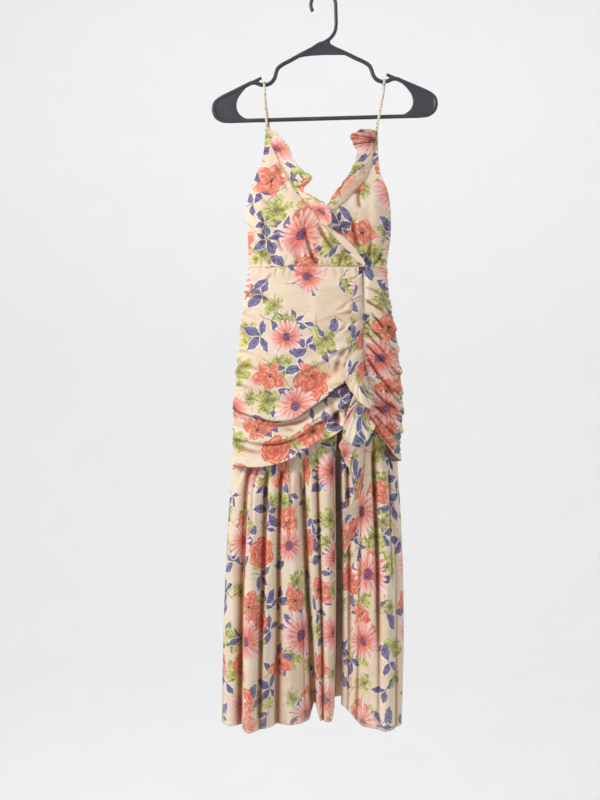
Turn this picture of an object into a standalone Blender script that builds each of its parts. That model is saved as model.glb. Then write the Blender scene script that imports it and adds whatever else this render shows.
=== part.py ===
"""A ruched midi dress with spaghetti straps, a ruffled wrap neck and a gathered skirt, hung on a notched plastic hanger.

Metres in Blender, millimetres in the tables below. +X is to the right and -Y to the front of the dress, as it is
seen hanging. The origin is the inside top of the hanger's hook, where a rail would carry it.
"""
import math
from collections import namedtuple

import bmesh
import bpy
import numpy as np
from mathutils import Matrix, Vector
from mathutils.bvhtree import BVHTree

MM = 0.001
CLOTH = 1.5  # wall of the dress's panels
FLOUNCE = 1.1  # wall of its ruffles
SEAM_GAP = 0.3  # between two pieces that are sewn edge to edge
FRONT, BACK = -1, 1

WAIST = -519
HEM = -1372
UNDERARM = -405
STRAP_WIDTH = 5
ROUNDNESS = 2.4  # exponent of the flattened oval that the hanging dress makes, 2 is an ellipse

# The hollow dress from the armholes down: its two side seams, and how far its front and back stand off the hanger.
Section = namedtuple("Section", "z left right front back")
BODY = (
    Section(-1380, -191, 148, 30, 60),
    Section(-1200, -188, 152, 34, 54),
    Section(-1050, -182, 150, 38, 48),
    Section(-950, -176, 145, 41, 44),
    Section(-885, -170, 141, 42, 42),
    Section(-770, -166, 145, 45, 40),
    Section(-700, -161, 141, 44, 38),
    Section(-630, -155, 132, 40, 35),
    Section(-565, -147, 122, 34, 30),
    Section(-519, -141, 120, 29, 25),
    Section(-460, -142, 127, 32, 26),
    Section(-405, -145, 128, 26, 22),
    Section(-330, -145, 128, 18, 16),
    Section(-250, -140, 124, 8, 8),
)

# Free edges of the two bodice fronts: x of the armhole and of the neckline at each height.
BodiceEdge = namedtuple("BodiceEdge", "z armhole neckline")
FRONT_LEFT_EDGES = (
    BodiceEdge(-519, -141, 68),
    BodiceEdge(-482, -141, 35),
    BodiceEdge(-439, -143, -3),
    BodiceEdge(-408, -145, -27),
    BodiceEdge(-376, -137, -51),
    BodiceEdge(-345, -126, -69),
    BodiceEdge(-317, -115, -82),
    BodiceEdge(-287, -110, -95),
    BodiceEdge(-256, -109, -102),
)
FRONT_RIGHT_EDGES = (
    BodiceEdge(-519, 120, -40),
    BodiceEdge(-482, 126, -25),
    BodiceEdge(-439, 129, 0),
    BodiceEdge(-408, 127, 22),
    BodiceEdge(-374, 121, 58),
    BodiceEdge(-337, 106, 83),
    BodiceEdge(-317, 104, 90),
    BodiceEdge(-290, 103, 94),
    BodiceEdge(-259, 103, 96),
)

# A flounce runs between the line it is sewn on and its free edge; rise is how far that edge stands off the panel.
Flounce = namedtuple("Flounce", "sewn_x sewn_z free_x free_z rise")
NECK_LEFT = (
    Flounce(-103, -263, -98, -265, 2),
    Flounce(-95, -287, -74, -300, 7),
    Flounce(-82, -317, -58, -330, 12),
    Flounce(-69, -345, -39, -354, 15),
    Flounce(-60, -361, -23, -363, 15),
    Flounce(-51, -376, -38, -379, 6),
    Flounce(-42, -389, -20, -392, 12),
    Flounce(-27, -406, 4, -409, 16),
    Flounce(-12, -424, 15, -437, 16),
    Flounce(-3, -439, 5, -450, 7),
    Flounce(12, -456, 37, -470, 12),
    Flounce(35, -482, 60, -494, 12),
    Flounce(52, -501, 73, -513, 9),
    Flounce(62, -511, 79, -528, 6),
)
NECK_RIGHT = (
    Flounce(98, -262, 90, -262, 2),
    Flounce(97, -268, 64, -268, 10),
    Flounce(96, -276, 49, -280, 17),
    Flounce(95, -284, 57, -295, 8),
    Flounce(93, -296, 62, -307, 7),
    Flounce(89, -318, 59, -328, 9),
    Flounce(83, -337, 53, -348, 11),
    Flounce(74, -356, 46, -370, 8),
    Flounce(59, -374, 33, -386, 7),
    Flounce(41, -393, 18, -402, 5),
    Flounce(24, -408, 6, -416, 3),
)
# The cascade down the slit is cut as three rounds and joined end to end; each one's top tucks under the one above.
CASCADE_UPPER = (
    Flounce(70, -531, 61, -538, 4),
    Flounce(69, -583, 51, -591, 8),
    Flounce(69, -640, 47, -662, 10),
    Flounce(70, -682, 36, -723, 15),
    Flounce(74, -706, 54, -761, 21),
    Flounce(77, -722, 77, -781, 24),
    Flounce(79, -736, 89, -758, 14),
)
CASCADE_MIDDLE = (
    Flounce(79, -741, 57, -747, 3),
    Flounce(80, -752, 44, -778, 8),
    Flounce(80, -765, 33, -834, 17),
    Flounce(81, -780, 67, -845, 23),
    Flounce(81, -797, 90, -813, 14),
)
CASCADE_LOWER = (
    Flounce(80, -802, 56, -808, 3),
    Flounce(78, -817, 36, -832, 8),
    Flounce(75, -836, 28, -854, 13),
    Flounce(73, -866, 45, -896, 15),
    Flounce(70, -908, 52, -930, 13),
    Flounce(66, -936, 49, -953, 15),
    Flounce(63, -958, 36, -974, 9),
    Flounce(60, -993, 41, -1012, 6),
    Flounce(54, -1026, 41, -1050, 4),
)

# Free edges of the two draped hip panels, and the lower edge where the skirt is gathered on.
EdgePoint = namedtuple("EdgePoint", "along value")
HIP_LEFT_FREE_X = (
    EdgePoint(-803, 46),
    EdgePoint(-766, 48),
    EdgePoint(-720, 42),
    EdgePoint(-666, 50),
    EdgePoint(-602, 53),
    EdgePoint(-565, 60),
    EdgePoint(-519, 66),
)
HIP_LEFT_SWAG_Z = (
    EdgePoint(-167, -781),
    EdgePoint(-122, -795),
    EdgePoint(-82, -803),
    EdgePoint(-51, -797),
    EdgePoint(-29, -782),
    EdgePoint(-1, -763),
    EdgePoint(20, -744),
    EdgePoint(48, -727),
)
HIP_LEFT_LOWER_Z = (
    EdgePoint(-170, -885),
    EdgePoint(-122, -889),
    EdgePoint(-74, -879),
    EdgePoint(-40, -862),
    EdgePoint(-18, -844),
    EdgePoint(4, -837),
    EdgePoint(24, -826),
    EdgePoint(48, -803),
)
HIP_RIGHT_FREE_X = 38
HIP_RIGHT_LOWER_Z = (
    EdgePoint(38, -800),
    EdgePoint(62, -805),
    EdgePoint(88, -812),
    EdgePoint(112, -847),
    EdgePoint(130, -872),
    EdgePoint(142, -882),
)

# Folds across a hip panel. v is the place down the panel at its two ends, 0 at the waist and 1 at the lower edge,
# rise the height of the roll of cloth at three places along it, soft its length above and sharp below, all in mm.
Swag = namedtuple("Swag", "v_left v_right rise_left rise_middle rise_right soft sharp")
HIP_LEFT_SWAGS = (
    Swag(0.13, 0.12, 5.0, 1.0, 1.0, 22, 5),
    Swag(0.30, 0.28, 2.5, 1.5, 3.0, 20, 5),
    Swag(0.42, 0.40, 2.5, 0.5, 4.0, 18, 5),
    Swag(0.54, 0.51, 3.5, 2.0, 5.0, 20, 5),
    Swag(0.72, 0.72, 6.0, 9.0, 14.0, 34, 4),
    Swag(0.86, 0.86, 4.0, 5.0, 9.0, 24, 5),
    Swag(1.00, 1.00, 3.0, 7.0, 8.0, 22, 5),
)
HIP_RIGHT_SWAGS = (
    Swag(0.20, 0.22, 1.5, 3.0, 3.0, 14, 4),
    Swag(0.29, 0.33, 3.0, 4.0, 4.0, 14, 4),
    Swag(0.38, 0.44, 3.0, 4.0, 4.0, 14, 4),
    Swag(0.47, 0.55, 3.5, 4.5, 4.5, 14, 4),
    Swag(0.57, 0.66, 4.0, 5.0, 4.5, 16, 4),
    Swag(0.68, 0.76, 4.0, 5.5, 4.5, 18, 4),
    Swag(0.80, 0.86, 4.5, 6.0, 4.5, 18, 4),
    Swag(1.00, 1.00, 3.0, 4.0, 3.5, 16, 4),
)
HIP_BACK_SWAGS = (
    Swag(0.14, 0.14, 4.0, 1.0, 4.0, 18, 5),
    Swag(0.28, 0.27, 4.0, 1.5, 4.0, 18, 5),
    Swag(0.42, 0.41, 4.5, 2.0, 4.5, 20, 5),
    Swag(0.56, 0.56, 4.5, 2.5, 4.5, 20, 5),
    Swag(0.71, 0.70, 5.0, 3.0, 5.0, 22, 5),
    Swag(0.85, 0.86, 4.5, 3.0, 4.5, 20, 5),
    Swag(1.00, 1.00, 3.0, 2.0, 3.0, 16, 5),
)

# Ridges and troughs across a skirt panel, as shares of the dress's width at the top of the skirt and at the hem,
# and how far each stands out of the oval section there.
Pleat = namedtuple("Pleat", "across_top across_hem out_top out_hem")
SKIRT_LEFT_PLEATS = (
    Pleat(0.000, 0.000, 0, 0),
    Pleat(0.040, 0.062, 3, 7),
    Pleat(0.086, 0.108, -8, -8),
    Pleat(0.146, 0.170, 5, 32),
    Pleat(0.205, 0.218, -9, 12),
    Pleat(0.252, 0.268, 4, 2),
    Pleat(0.294, 0.305, -9, -20),
    Pleat(0.352, 0.385, 5, -10),
    Pleat(0.402, 0.462, -6, -28),
    Pleat(0.425, 0.500, -14, -52),
    Pleat(0.465, 0.540, 2, -30),
    Pleat(0.506, 0.565, -6, -36),
    Pleat(0.560, 0.592, 4, -24),
    Pleat(0.604, 0.628, -8, -38),
    Pleat(0.622, 0.634, -22, -56),
)
SKIRT_RIGHT_PLEATS = (
    Pleat(0.650, 0.672, -24, -48),
    Pleat(0.668, 0.688, -8, -38),
    Pleat(0.694, 0.708, -18, -36),
    Pleat(0.740, 0.752, 2, -20),
    Pleat(0.794, 0.812, 5, 6),
    Pleat(0.846, 0.852, -14, 14),
    Pleat(0.898, 0.890, 5, 27),
    Pleat(0.944, 0.946, -6, 12),
    Pleat(1.000, 1.000, 0, 0),
)
SKIRT_BACK_PLEATS = (
    Pleat(0.000, 0.000, 0, 0),
    Pleat(0.055, 0.060, 4, 10),
    Pleat(0.110, 0.115, -5, -8),
    Pleat(0.170, 0.175, 5, 14),
    Pleat(0.230, 0.240, -6, -12),
    Pleat(0.290, 0.295, 4, 8),
    Pleat(0.350, 0.360, -6, -14),
    Pleat(0.420, 0.425, 5, 12),
    Pleat(0.480, 0.490, -5, -8),
    Pleat(0.545, 0.550, 5, 14),
    Pleat(0.610, 0.615, -6, -14),
    Pleat(0.670, 0.680, 4, 10),
    Pleat(0.735, 0.740, -6, -10),
    Pleat(0.800, 0.805, 5, 12),
    Pleat(0.865, 0.870, -5, -10),
    Pleat(0.930, 0.935, 4, 8),
    Pleat(1.000, 1.000, 0, 0),
)
SKIRT_TUCK = 14  # how far the gathered skirt reaches up behind the hip panels
SKIRT_INSET = -10  # and how far in it lies there

# The hanger, drawn level about its own middle and then tilted as it hangs.
HANGER_TILT = math.radians(1.6)
HANGER_TUBE = 3.9
HOOK_TUBE = 3.5
HOOK_RADIUS = 23.4
WEB = 3
HangerPoint = namedtuple("HangerPoint", "x z")
HANGER_HALF_RIM = (
    HangerPoint(0, -92),
    HangerPoint(22, -103),
    HangerPoint(43, -113),
    HangerPoint(62, -123),
    HangerPoint(78, -131),
    HangerPoint(86, -137),
    HangerPoint(90, -145),
    HangerPoint(92.5, -154),
    HangerPoint(98, -162.5),
    HangerPoint(106, -167.3),
    HangerPoint(113, -168),
    HangerPoint(120, -167.3),
    HangerPoint(128, -164),
    HangerPoint(134, -163),
    HangerPoint(148, -168.5),
    HangerPoint(182, -184),
    HangerPoint(197, -191),
    HangerPoint(207, -200),
    HangerPoint(210, -212),
    HangerPoint(206, -225),
    HangerPoint(194, -233),
    HangerPoint(180, -234.5),
    HangerPoint(90, -234.5),
)
NOTCH_TIP = (HangerPoint(134, -162), HangerPoint(124, -157.5), HangerPoint(118, -154.5))
HOOK_FOOT = (HangerPoint(-20, -102), HangerPoint(-2, -92), HangerPoint(13, -82), HangerPoint(21, -70), HangerPoint(23.4, -56))
END_WEB = (
    HangerPoint(148, -169),
    HangerPoint(182, -184),
    HangerPoint(197, -191),
    HangerPoint(207, -200),
    HangerPoint(210, -212),
    HangerPoint(206, -225),
    HangerPoint(194, -233),
    HangerPoint(146, -234),
    HangerPoint(150, -230),
    HangerPoint(162, -223),
    HangerPoint(168, -209),
    HangerPoint(165, -193),
    HangerPoint(157, -181),
)
TOP_WEB = (
    HangerPoint(-46, -114.5),
    HangerPoint(-22, -103),
    HangerPoint(0, -92),
    HangerPoint(22, -103),
    HangerPoint(46, -114.5),
    HangerPoint(24, -114),
    HangerPoint(-24, -114),
)

PEACH = (0.80, 0.66, 0.49, 1)
CORAL = (0.78, 0.36, 0.28, 1)
CHARCOAL = (0.05, 0.05, 0.06, 1)


def smooth(knots, values, at):
    """A cubic through (knots, values) at the given places, held level past both ends."""
    knots = np.asarray(knots, float)
    values = np.asarray(values, float)
    slope = np.gradient(values, knots)
    at = np.clip(np.asarray(at, float), knots[0], knots[-1])
    i = np.clip(np.searchsorted(knots, at, side="right") - 1, 0, len(knots) - 2)
    step = knots[i + 1] - knots[i]
    t = (at - knots[i]) / step
    return (
        (2 * t**3 - 3 * t**2 + 1) * values[i]
        + (t**3 - 2 * t**2 + t) * step * slope[i]
        + (3 * t**2 - 2 * t**3) * values[i + 1]
        + (t**3 - t**2) * step * slope[i + 1]
    )


def column(table, name):
    return np.array([getattr(row, name) for row in table], float)


def edge_line(table, at):
    return smooth(column(table, "along"), column(table, "value"), at)


def ramp(t):
    """0 to 1 with level ends."""
    t = np.clip(t, 0, 1)
    return t * t * (3 - 2 * t)


def body_at(z):
    """The side seams and the depth in front and behind, at these heights."""
    heights = column(BODY, "z")
    return [smooth(heights, column(BODY, name), z) for name in ("left", "right", "front", "back")]


def angle_at(x, z):
    """The place round the oval of a point at x: pi at the left seam, 0 at the right."""
    left, right, _, _ = body_at(z)
    t = np.clip((x - (left + right) / 2) / ((right - left) / 2), -1, 1)
    return np.arccos(np.sign(t) * np.abs(t) ** (ROUNDNESS / 2))


def on_body(angle, z, out, side):
    """Points on the front or back of the dress, moved out of the oval."""
    left, right, front, back = body_at(z)
    half = (right - left) / 2
    depth = front if side == FRONT else back
    power = 2 / ROUNDNESS
    cos, sin = np.cos(angle), np.clip(np.sin(angle), 0, 1)
    t = np.sign(cos) * np.abs(cos) ** power
    u = sin**power
    across = np.sign(t) * np.abs(t) ** (ROUNDNESS - 1) / half
    outward = u ** (ROUNDNESS - 1) / depth
    length = np.hypot(across, outward)
    x = (left + right) / 2 + half * t + out * across / length
    y = side * (depth * u + out * outward / length)
    return np.stack(np.broadcast_arrays(x, y, z), -1)


def seam_angle(z, side):
    """How far round the oval a piece stops short of the side seam, to leave half the gap."""
    _, _, front, back = body_at(z)
    depth = front if side == FRONT else back
    return np.arcsin((SEAM_GAP / 2 / depth) ** (ROUNDNESS / 2))


def seam_pucker(z):
    """The small waves that the ruching makes down both side seams of the hips."""
    inside = ramp((WAIST - 12 - z) / 25) * ramp((z + 872) / 20)
    return inside * (1.6 * np.sin(z / 4.1) + 0.9 * np.sin(z / 6.7 + 1))


def grid_normals(points):
    """Unit normals of a grid of points, from its rows and columns."""
    down = np.gradient(points, axis=0)
    along = np.gradient(points, axis=1)
    normal = np.cross(along, down)
    return normal / np.maximum(np.linalg.norm(normal, axis=-1, keepdims=True), 1e-9)


def cloth_wall(name, points, outward, colour, seam_columns=(), seam_rows=(), wall=CLOTH):
    """A closed wall of cloth from a grid of points on its outer face, in millimetres.

    outward is 1 where rows crossed with columns already point out. Along seam columns and rows the wall's end
    stays square to the seam, so that it can't reach across the gap."""
    normal = grid_normals(points) * outward
    for index in seam_columns:
        normal[:, index, 1] = 0
    for index in seam_rows:
        normal[index, :, 2] = 0
    normal /= np.linalg.norm(normal, axis=-1, keepdims=True)
    inner = points - normal * wall
    rows, columns = points.shape[:2]
    count = rows * columns
    at = np.arange(count).reshape(rows, columns)
    quads = []
    for i in range(rows - 1):
        for j in range(columns - 1):
            face = [at[i, j], at[i, j + 1], at[i + 1, j + 1], at[i + 1, j]]
            quads.append(face[:: int(outward)])
            quads.append([k + count for k in face[:: -int(outward)]])
    rim = [*at[0, :-1], *at[:-1, -1], *at[-1, :0:-1], *at[:0:-1, 0]]
    for a, b in zip(rim, rim[1:] + rim[:1]):
        face = [a, a + count, b + count, b]
        quads.append(face[:: int(outward)])
    return solid(name, np.concatenate([points.reshape(-1, 3), inner.reshape(-1, 3)]), quads, colour)


def solid(name, points, faces, colour):
    mesh = bpy.data.meshes.new(name)
    mesh.from_pydata([Vector(p) * MM for p in points], [], [[int(k) for k in f] for f in faces])
    body = bpy.data.objects.new(name, mesh)
    bpy.context.scene.collection.objects.link(body)
    bm = bmesh.new()
    bm.from_mesh(mesh)
    bmesh.ops.recalc_face_normals(bm, faces=bm.faces)
    bm.to_mesh(mesh)
    bm.free()
    mesh.shade_smooth()
    mesh.materials.append(material(*colour))
    return body


def material(name, colour, roughness):
    made = bpy.data.materials.get(name)
    if made is None:
        made = bpy.data.materials.new(name)
        made.use_nodes = True
        shader = made.node_tree.nodes["Principled BSDF"]
        shader.inputs["Base Color"].default_value = colour
        shader.inputs["Roughness"].default_value = roughness
        shader.inputs["Metallic"].default_value = 0
    return made


CHIFFON = ("printed chiffon", PEACH, 0.8)
RUFFLE = ("printed ruffle", CORAL, 0.8)
PLASTIC = ("charcoal plastic", CHARCOAL, 0.4)


def bodice_gathers(x, z, spacing, rise):
    """Soft upright gathers that start at the waist seam and die out 90 mm above it."""
    return rise * np.sin(2 * math.pi * x / spacing) * ramp(1 - (z - WAIST) / 90) * ramp((z - WAIST) / 6)


def bodice_front(name, edges, side_x_sign, overlap, rows, columns):
    """One front of the wrap, from its strap tip to the waist seam."""
    top = edges[-1].z
    z = np.linspace(top, WAIST + SEAM_GAP / 2, rows)[:, None]
    heights = column(edges, "z")
    armhole = angle_at(smooth(heights, column(edges, "armhole"), z), z)
    neckline = angle_at(smooth(heights, column(edges, "neckline"), z), z)
    limit = seam_angle(z, FRONT)
    armhole = np.clip(armhole, limit, math.pi - limit)
    across = np.linspace(0, 1, columns)[None, :]
    start, end = (armhole, neckline) if side_x_sign < 0 else (neckline, armhole)
    angle = start + (end - start) * across
    from_side = across if side_x_sign < 0 else 1 - across
    grid_z = z + 0 * across
    flat = on_body(angle, grid_z, 0, FRONT)
    x = flat[..., 0]
    gathers = bodice_gathers(x, grid_z, 44, 1.6 if overlap else 0.8) * ramp(from_side / 0.15)
    out = overlap * ramp((x + 105) / 50) + gathers
    seam = (0,) if side_x_sign < 0 else (columns - 1,)
    return cloth_wall(name, on_body(angle, grid_z, out, FRONT), -1, CHIFFON, seam_columns=seam, seam_rows=(rows - 1,))


def bodice_back(rows, columns):
    z_share = np.linspace(0, 1, rows)[:, None]
    across = np.linspace(0, 1, columns)[None, :]
    top = UNDERARM - 6 * np.sin(math.pi * across)
    z = top + (WAIST + SEAM_GAP / 2 - top) * z_share
    limit = seam_angle(z, BACK)
    angle = (math.pi - limit) + (2 * limit - math.pi) * across
    x = on_body(angle, z, 0, BACK)[..., 0]
    out = bodice_gathers(x, z, 44, 1.6) * ramp(np.minimum(across, 1 - across) / 0.1)
    return cloth_wall(
        "bodice_back", on_body(angle, z, out, BACK), 1, CHIFFON, seam_columns=(0, columns - 1), seam_rows=(rows - 1,)
    )


def swag_rise(v, across, height, swags, scale=1.0):
    """How far the rolls of a draped panel stand out, at a place down and across it."""
    total = 0
    for swag in swags:
        line = swag.v_left + (swag.v_right - swag.v_left) * across
        above = (line - v) * height
        size = smooth((0, 0.5, 1), (swag.rise_left, swag.rise_middle, swag.rise_right), across) * scale
        total = total + size * np.where(
            above >= 0, np.exp(-((above / swag.soft) ** 2) * 1.6), ramp(1 + above / swag.sharp)
        )
    return total


def swag_rows(swags, across, height):
    """Grid rows that follow the rolls: one on each line, one just under it and two above."""
    rows = [0 * across]
    last = 0.0
    for swag in swags:
        line = swag.v_left + (swag.v_right - swag.v_left) * across
        above = rows[-1]
        rows += [above + (line - above) * share for share in (0.5, 1.0)]
        if line.max() < 1:
            rows.append(line + swag.sharp / height)
        last = line
    rows[-1] = np.ones_like(last)
    return np.stack(rows)


def hip_panel(name, side, start_x, end_x, guides, swags, lift, columns, colour=CHIFFON):
    """A draped hip panel between two upright lines. guides are its lower edge and, where given, a line part way
    down that the rolls follow. lift adds to the stand-off, by place across and down."""
    across = np.linspace(0, 1, columns)
    mean_height = 340
    v = swag_rows(swags, across, mean_height)
    z = WAIST - SEAM_GAP / 2 + v * -mean_height
    for _ in range(4):
        limit = seam_angle(z, side)
        start, end = start_x(z), end_x(z)
        first = np.clip(angle_at(start, z), limit, math.pi - limit)
        second = np.clip(angle_at(end, z), limit, math.pi - limit)
        angle = first + (second - first) * across[None, :]
        x = on_body(angle, z, 0, side)[..., 0]
        z = guides(x, v)
    out = swag_rise(v, across[None, :], mean_height, swags) + lift(across[None, :], v)
    return angle, z, out, v


def hip_left():
    def guides(x, v):
        swag = edge_line(HIP_LEFT_SWAG_Z, x)
        lower = edge_line(HIP_LEFT_LOWER_Z, x)
        part = 0.72
        top = WAIST - SEAM_GAP / 2
        return np.where(v < part, top + (swag - top) * v / part, swag + (lower - swag) * (v - part) / (1 - part))

    def lift(across, v):
        return (2 + 4 * v) * np.ones_like(across)

    angle, z, out, v = hip_panel(
        "hip_front_left",
        FRONT,
        lambda z: -1000 + 0 * z,
        lambda z: edge_line(HIP_LEFT_FREE_X, z),
        guides,
        HIP_LEFT_SWAGS,
        lift,
        22,
    )
    across = np.linspace(0, 1, 22)[None, :]
    keep = ramp(across / 0.2)
    out = out * keep + seam_pucker(z) * (1 - keep)
    return cloth_wall("hip_front_left", on_body(angle, z, out, FRONT), -1, CHIFFON, seam_columns=(0,), seam_rows=(0,))


def hip_right():
    def guides(x, v):
        top = WAIST - SEAM_GAP / 2
        return top + (edge_line(HIP_RIGHT_LOWER_Z, x) - top) * v

    def lift(across, v):
        return -6 + 3 * v * ramp((across - 0.3) / 0.3)

    angle, z, out, v = hip_panel(
        "hip_front_right",
        FRONT,
        lambda z: HIP_RIGHT_FREE_X + 0 * z,
        lambda z: 1000 + 0 * z,
        guides,
        HIP_RIGHT_SWAGS,
        lift,
        14,
    )
    across = np.linspace(0, 1, 14)[None, :]
    x = on_body(angle, z, 0, FRONT)[..., 0]
    out += 9 * ramp((x - edge_line(HIP_LEFT_FREE_X, z) - 4) / 20)
    keep = ramp((1 - across) / 0.16)
    out = out * keep + seam_pucker(z) * (1 - keep)
    return cloth_wall(
        "hip_front_right", on_body(angle, z, out, FRONT), -1, CHIFFON, seam_columns=(13,), seam_rows=(0,)
    )


def hip_back_lower(x):
    """The back panel's lower edge meets the front ones at both side seams and dips a little between."""
    left, right = HIP_LEFT_LOWER_Z[0].value, HIP_RIGHT_LOWER_Z[-1].value
    share = np.clip((x + 170) / 311, 0, 1)
    return left + (right - left) * share - 6 * np.sin(math.pi * share)


def hip_back():
    def guides(x, v):
        top = WAIST - SEAM_GAP / 2
        share = np.clip((x + 165) / 305, 0, 1)
        sag = -22 * np.sin(math.pi * share) * np.sin(math.pi * np.clip(v, 0, 1))
        return top + (hip_back_lower(x) - top) * v + sag

    def lift(across, v):
        return (2 + 3 * v) * np.ones_like(across)

    columns = 24
    angle, z, out, v = hip_panel(
        "hip_back", BACK, lambda z: -1000 + 0 * z, lambda z: 1000 + 0 * z, guides, HIP_BACK_SWAGS, lift, columns
    )
    across = np.linspace(0, 1, columns)[None, :]
    keep = ramp(np.minimum(across, 1 - across) / 0.16)
    out = out * keep + seam_pucker(z) * (1 - keep)
    return cloth_wall(
        "hip_back", on_body(angle, z, out, BACK), 1, CHIFFON, seam_columns=(0, columns - 1), seam_rows=(0,)
    )


def hip_lower(x, side):
    if side == BACK:
        return hip_back_lower(x)
    left = edge_line(HIP_LEFT_LOWER_Z, x)
    right = edge_line(HIP_RIGHT_LOWER_Z, x)
    return np.where(x < 43, left, right)


def skirt_panel(name, side, pleats, per_pleat, rows, seam_columns):
    """A gathered skirt panel: every ridge and trough runs from behind the hip panel to the hem."""
    stations = np.arange(len(pleats))
    s = np.linspace(0, stations[-1], (len(pleats) - 1) * per_pleat + 1)[None, :]
    drop = np.linspace(0, 1, rows)[:, None] ** 1.25
    across_top, across_hem, out_top, out_hem = (
        smooth(stations, column(pleats, field), s) for field in Pleat._fields
    )
    across = across_top + (across_hem - across_top) * drop
    z = -880 + (HEM + 880) * drop + 0 * s
    for _ in range(3):
        left, right, _, _ = body_at(z)
        x = left + (right - left) * across
        from_seam = np.minimum(across, 1 - across)
        top = hip_lower(x, side) - 2 * SEAM_GAP + SKIRT_TUCK * ramp((from_seam - 0.05) / 0.03)
        z = top + (HEM - top) * drop
    limit = seam_angle(z, side)
    angle = np.clip(angle_at(x, z), limit, math.pi - limit)
    below_hip = (hip_lower(x, side) - z) / 60
    opening = ramp(below_hip) * 0.75 + 0.25 * ramp(below_hip / 4)
    tucked = SKIRT_INSET * (1 - ramp((below_hip + 0.1) / 0.9)) * ramp(from_seam / 0.04)
    out = tucked + out_top * opening * (1 - drop) + out_hem * drop**1.1
    return cloth_wall(name, on_body(angle, z, out, side), side, CHIFFON, seam_columns=seam_columns)


def stand_off(panels, x, z):
    """How far the front of these panels stands out of the oval, round each of these points."""
    surfaces = [
        BVHTree.FromPolygons([v.co for v in panel.data.vertices], [f.vertices for f in panel.data.polygons])
        for panel in panels
    ]
    oval = -on_body(angle_at(x, z), z, 0, FRONT)[:, 1]
    out = np.full(len(x), -1000.0)
    for k in range(len(x)):
        for dx in (-5, -2, 0, 2, 5):
            for dz in (-4, 0, 4):
                start = Vector((x[k] + dx, -300, z[k] + dz)) * MM
                for surface in surfaces:
                    hit = surface.ray_cast(start, Vector((0, 1, 0)), 0.31)[0]
                    if hit:
                        out[k] = max(out[k], -hit.y / MM - oval[k])
    return out


def pulled_taut(out, x, z, slope):
    """A seam that rides over the bumps and spans the hollows between them."""
    out = out.copy()
    step = np.hypot(np.diff(x), np.diff(z)) * slope
    for k in range(1, len(out)):
        out[k] = max(out[k], out[k - 1] - step[k - 1])
    for k in range(len(out) - 2, -1, -1):
        out[k] = max(out[k], out[k + 1] - step[k])
    return out


def flounce_strip(name, stations, panels, per_station, rows, lean):
    """A flounce between its sewn line and its free edge, lying on some panels of the front. It leaves the seam
    sideways, by lean times its width, before it falls to the free edge."""
    s_knots = np.arange(len(stations))
    s = np.linspace(0, s_knots[-1], (len(stations) - 1) * per_station + 1)[:, None]
    sewn_x, sewn_z, free_x, free_z, rise = (smooth(s_knots, column(stations, field), s) for field in Flounce._fields)
    seam_x, seam_z = sewn_x[:, 0], sewn_z[:, 0]
    base = pulled_taut(stand_off(panels, seam_x, seam_z), seam_x, seam_z, 0.2)[:, None] + FLOUNCE + SEAM_GAP
    r = np.linspace(0, 1, rows)[None, :]
    a, b, c = (1 - r) ** 2, 2 * r * (1 - r), r**2
    width = np.hypot(free_x - sewn_x, free_z - sewn_z)
    x = a * sewn_x + b * (sewn_x + lean * width) + c * free_x
    z = a * sewn_z + b * (sewn_z + 0.15 * (free_z - sewn_z)) + c * free_z
    out = base + b * 0.9 * rise + c * rise
    return cloth_wall(
        name, on_body(angle_at(x, z), z, out, FRONT), flounce_facing(sewn_x, free_x), RUFFLE, wall=FLOUNCE
    )


def flounce_facing(sewn_x, free_x):
    """-1 where the flounce runs to the right of its sewn line, 1 to the left."""
    return -1 if float(np.mean(free_x - sewn_x)) > 0 else 1


def strap(name, tip_x, tip_z, notch_x, notch_z, back_x):
    """A narrow strap from a bodice tip, over the hanger's notch and down to the back's top edge."""
    over = HANGER_TUBE + SEAM_GAP + CLOTH + 0.6
    arc = [(notch_x, over * math.sin(a), notch_z + over * math.cos(a)) for a in np.radians(range(-90, 91, 22))]
    back_top = UNDERARM - 6 * math.sin(math.pi * (back_x + 145) / 273)
    back_out = float(on_body(angle_at(back_x, back_top), back_top, 0, BACK)[1])
    front_out = float(on_body(angle_at(tip_x, tip_z), tip_z, 0, FRONT)[1])
    front = [(tip_x, front_out, tip_z + SEAM_GAP), (tip_x + (notch_x - tip_x) * 0.4, -8, tip_z + 30)]
    back = [(notch_x + (back_x - notch_x) * 0.25, 8.5, notch_z - 65), (notch_x + (back_x - notch_x) * 0.6, 14, notch_z - 140)]
    route = np.array(front + arc + back + [(back_x, back_out, back_top + SEAM_GAP)], float)
    along = np.concatenate([[0], np.cumsum(np.linalg.norm(np.diff(route, axis=0), axis=1))])
    turn = along[len(front) : len(front) + len(arc)]
    even = np.linspace(0, along[-1], 22)
    even = even[(even < turn[0] - 3) | (even > turn[-1] + 3)]
    at = np.unique(np.concatenate([turn, even]))
    centre = np.stack([smooth(along, route[:, k], at) for k in range(3)], -1)
    half = np.array([STRAP_WIDTH / 2, 0, 0])
    points = np.stack([centre - half, centre, centre + half], 1)
    return cloth_wall(name, points, 1, CHIFFON)


def tube(name, route, radius, closed):
    curve = bpy.data.curves.new(name, "CURVE")
    curve.dimensions = "3D"
    curve.bevel_depth = radius * MM
    curve.bevel_resolution = 2
    curve.use_fill_caps = True
    line = curve.splines.new("POLY")
    line.points.add(len(route) - 1)
    for point, (x, z) in zip(line.points, route):
        point.co = (x * MM, 0, z * MM, 1)
    line.use_cyclic_u = closed
    made = bpy.data.objects.new(name, curve)
    bpy.context.scene.collection.objects.link(made)
    mesh = bpy.data.meshes.new_from_object(made.evaluated_get(bpy.context.evaluated_depsgraph_get()))
    bpy.data.objects.remove(made)
    return mesh


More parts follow.
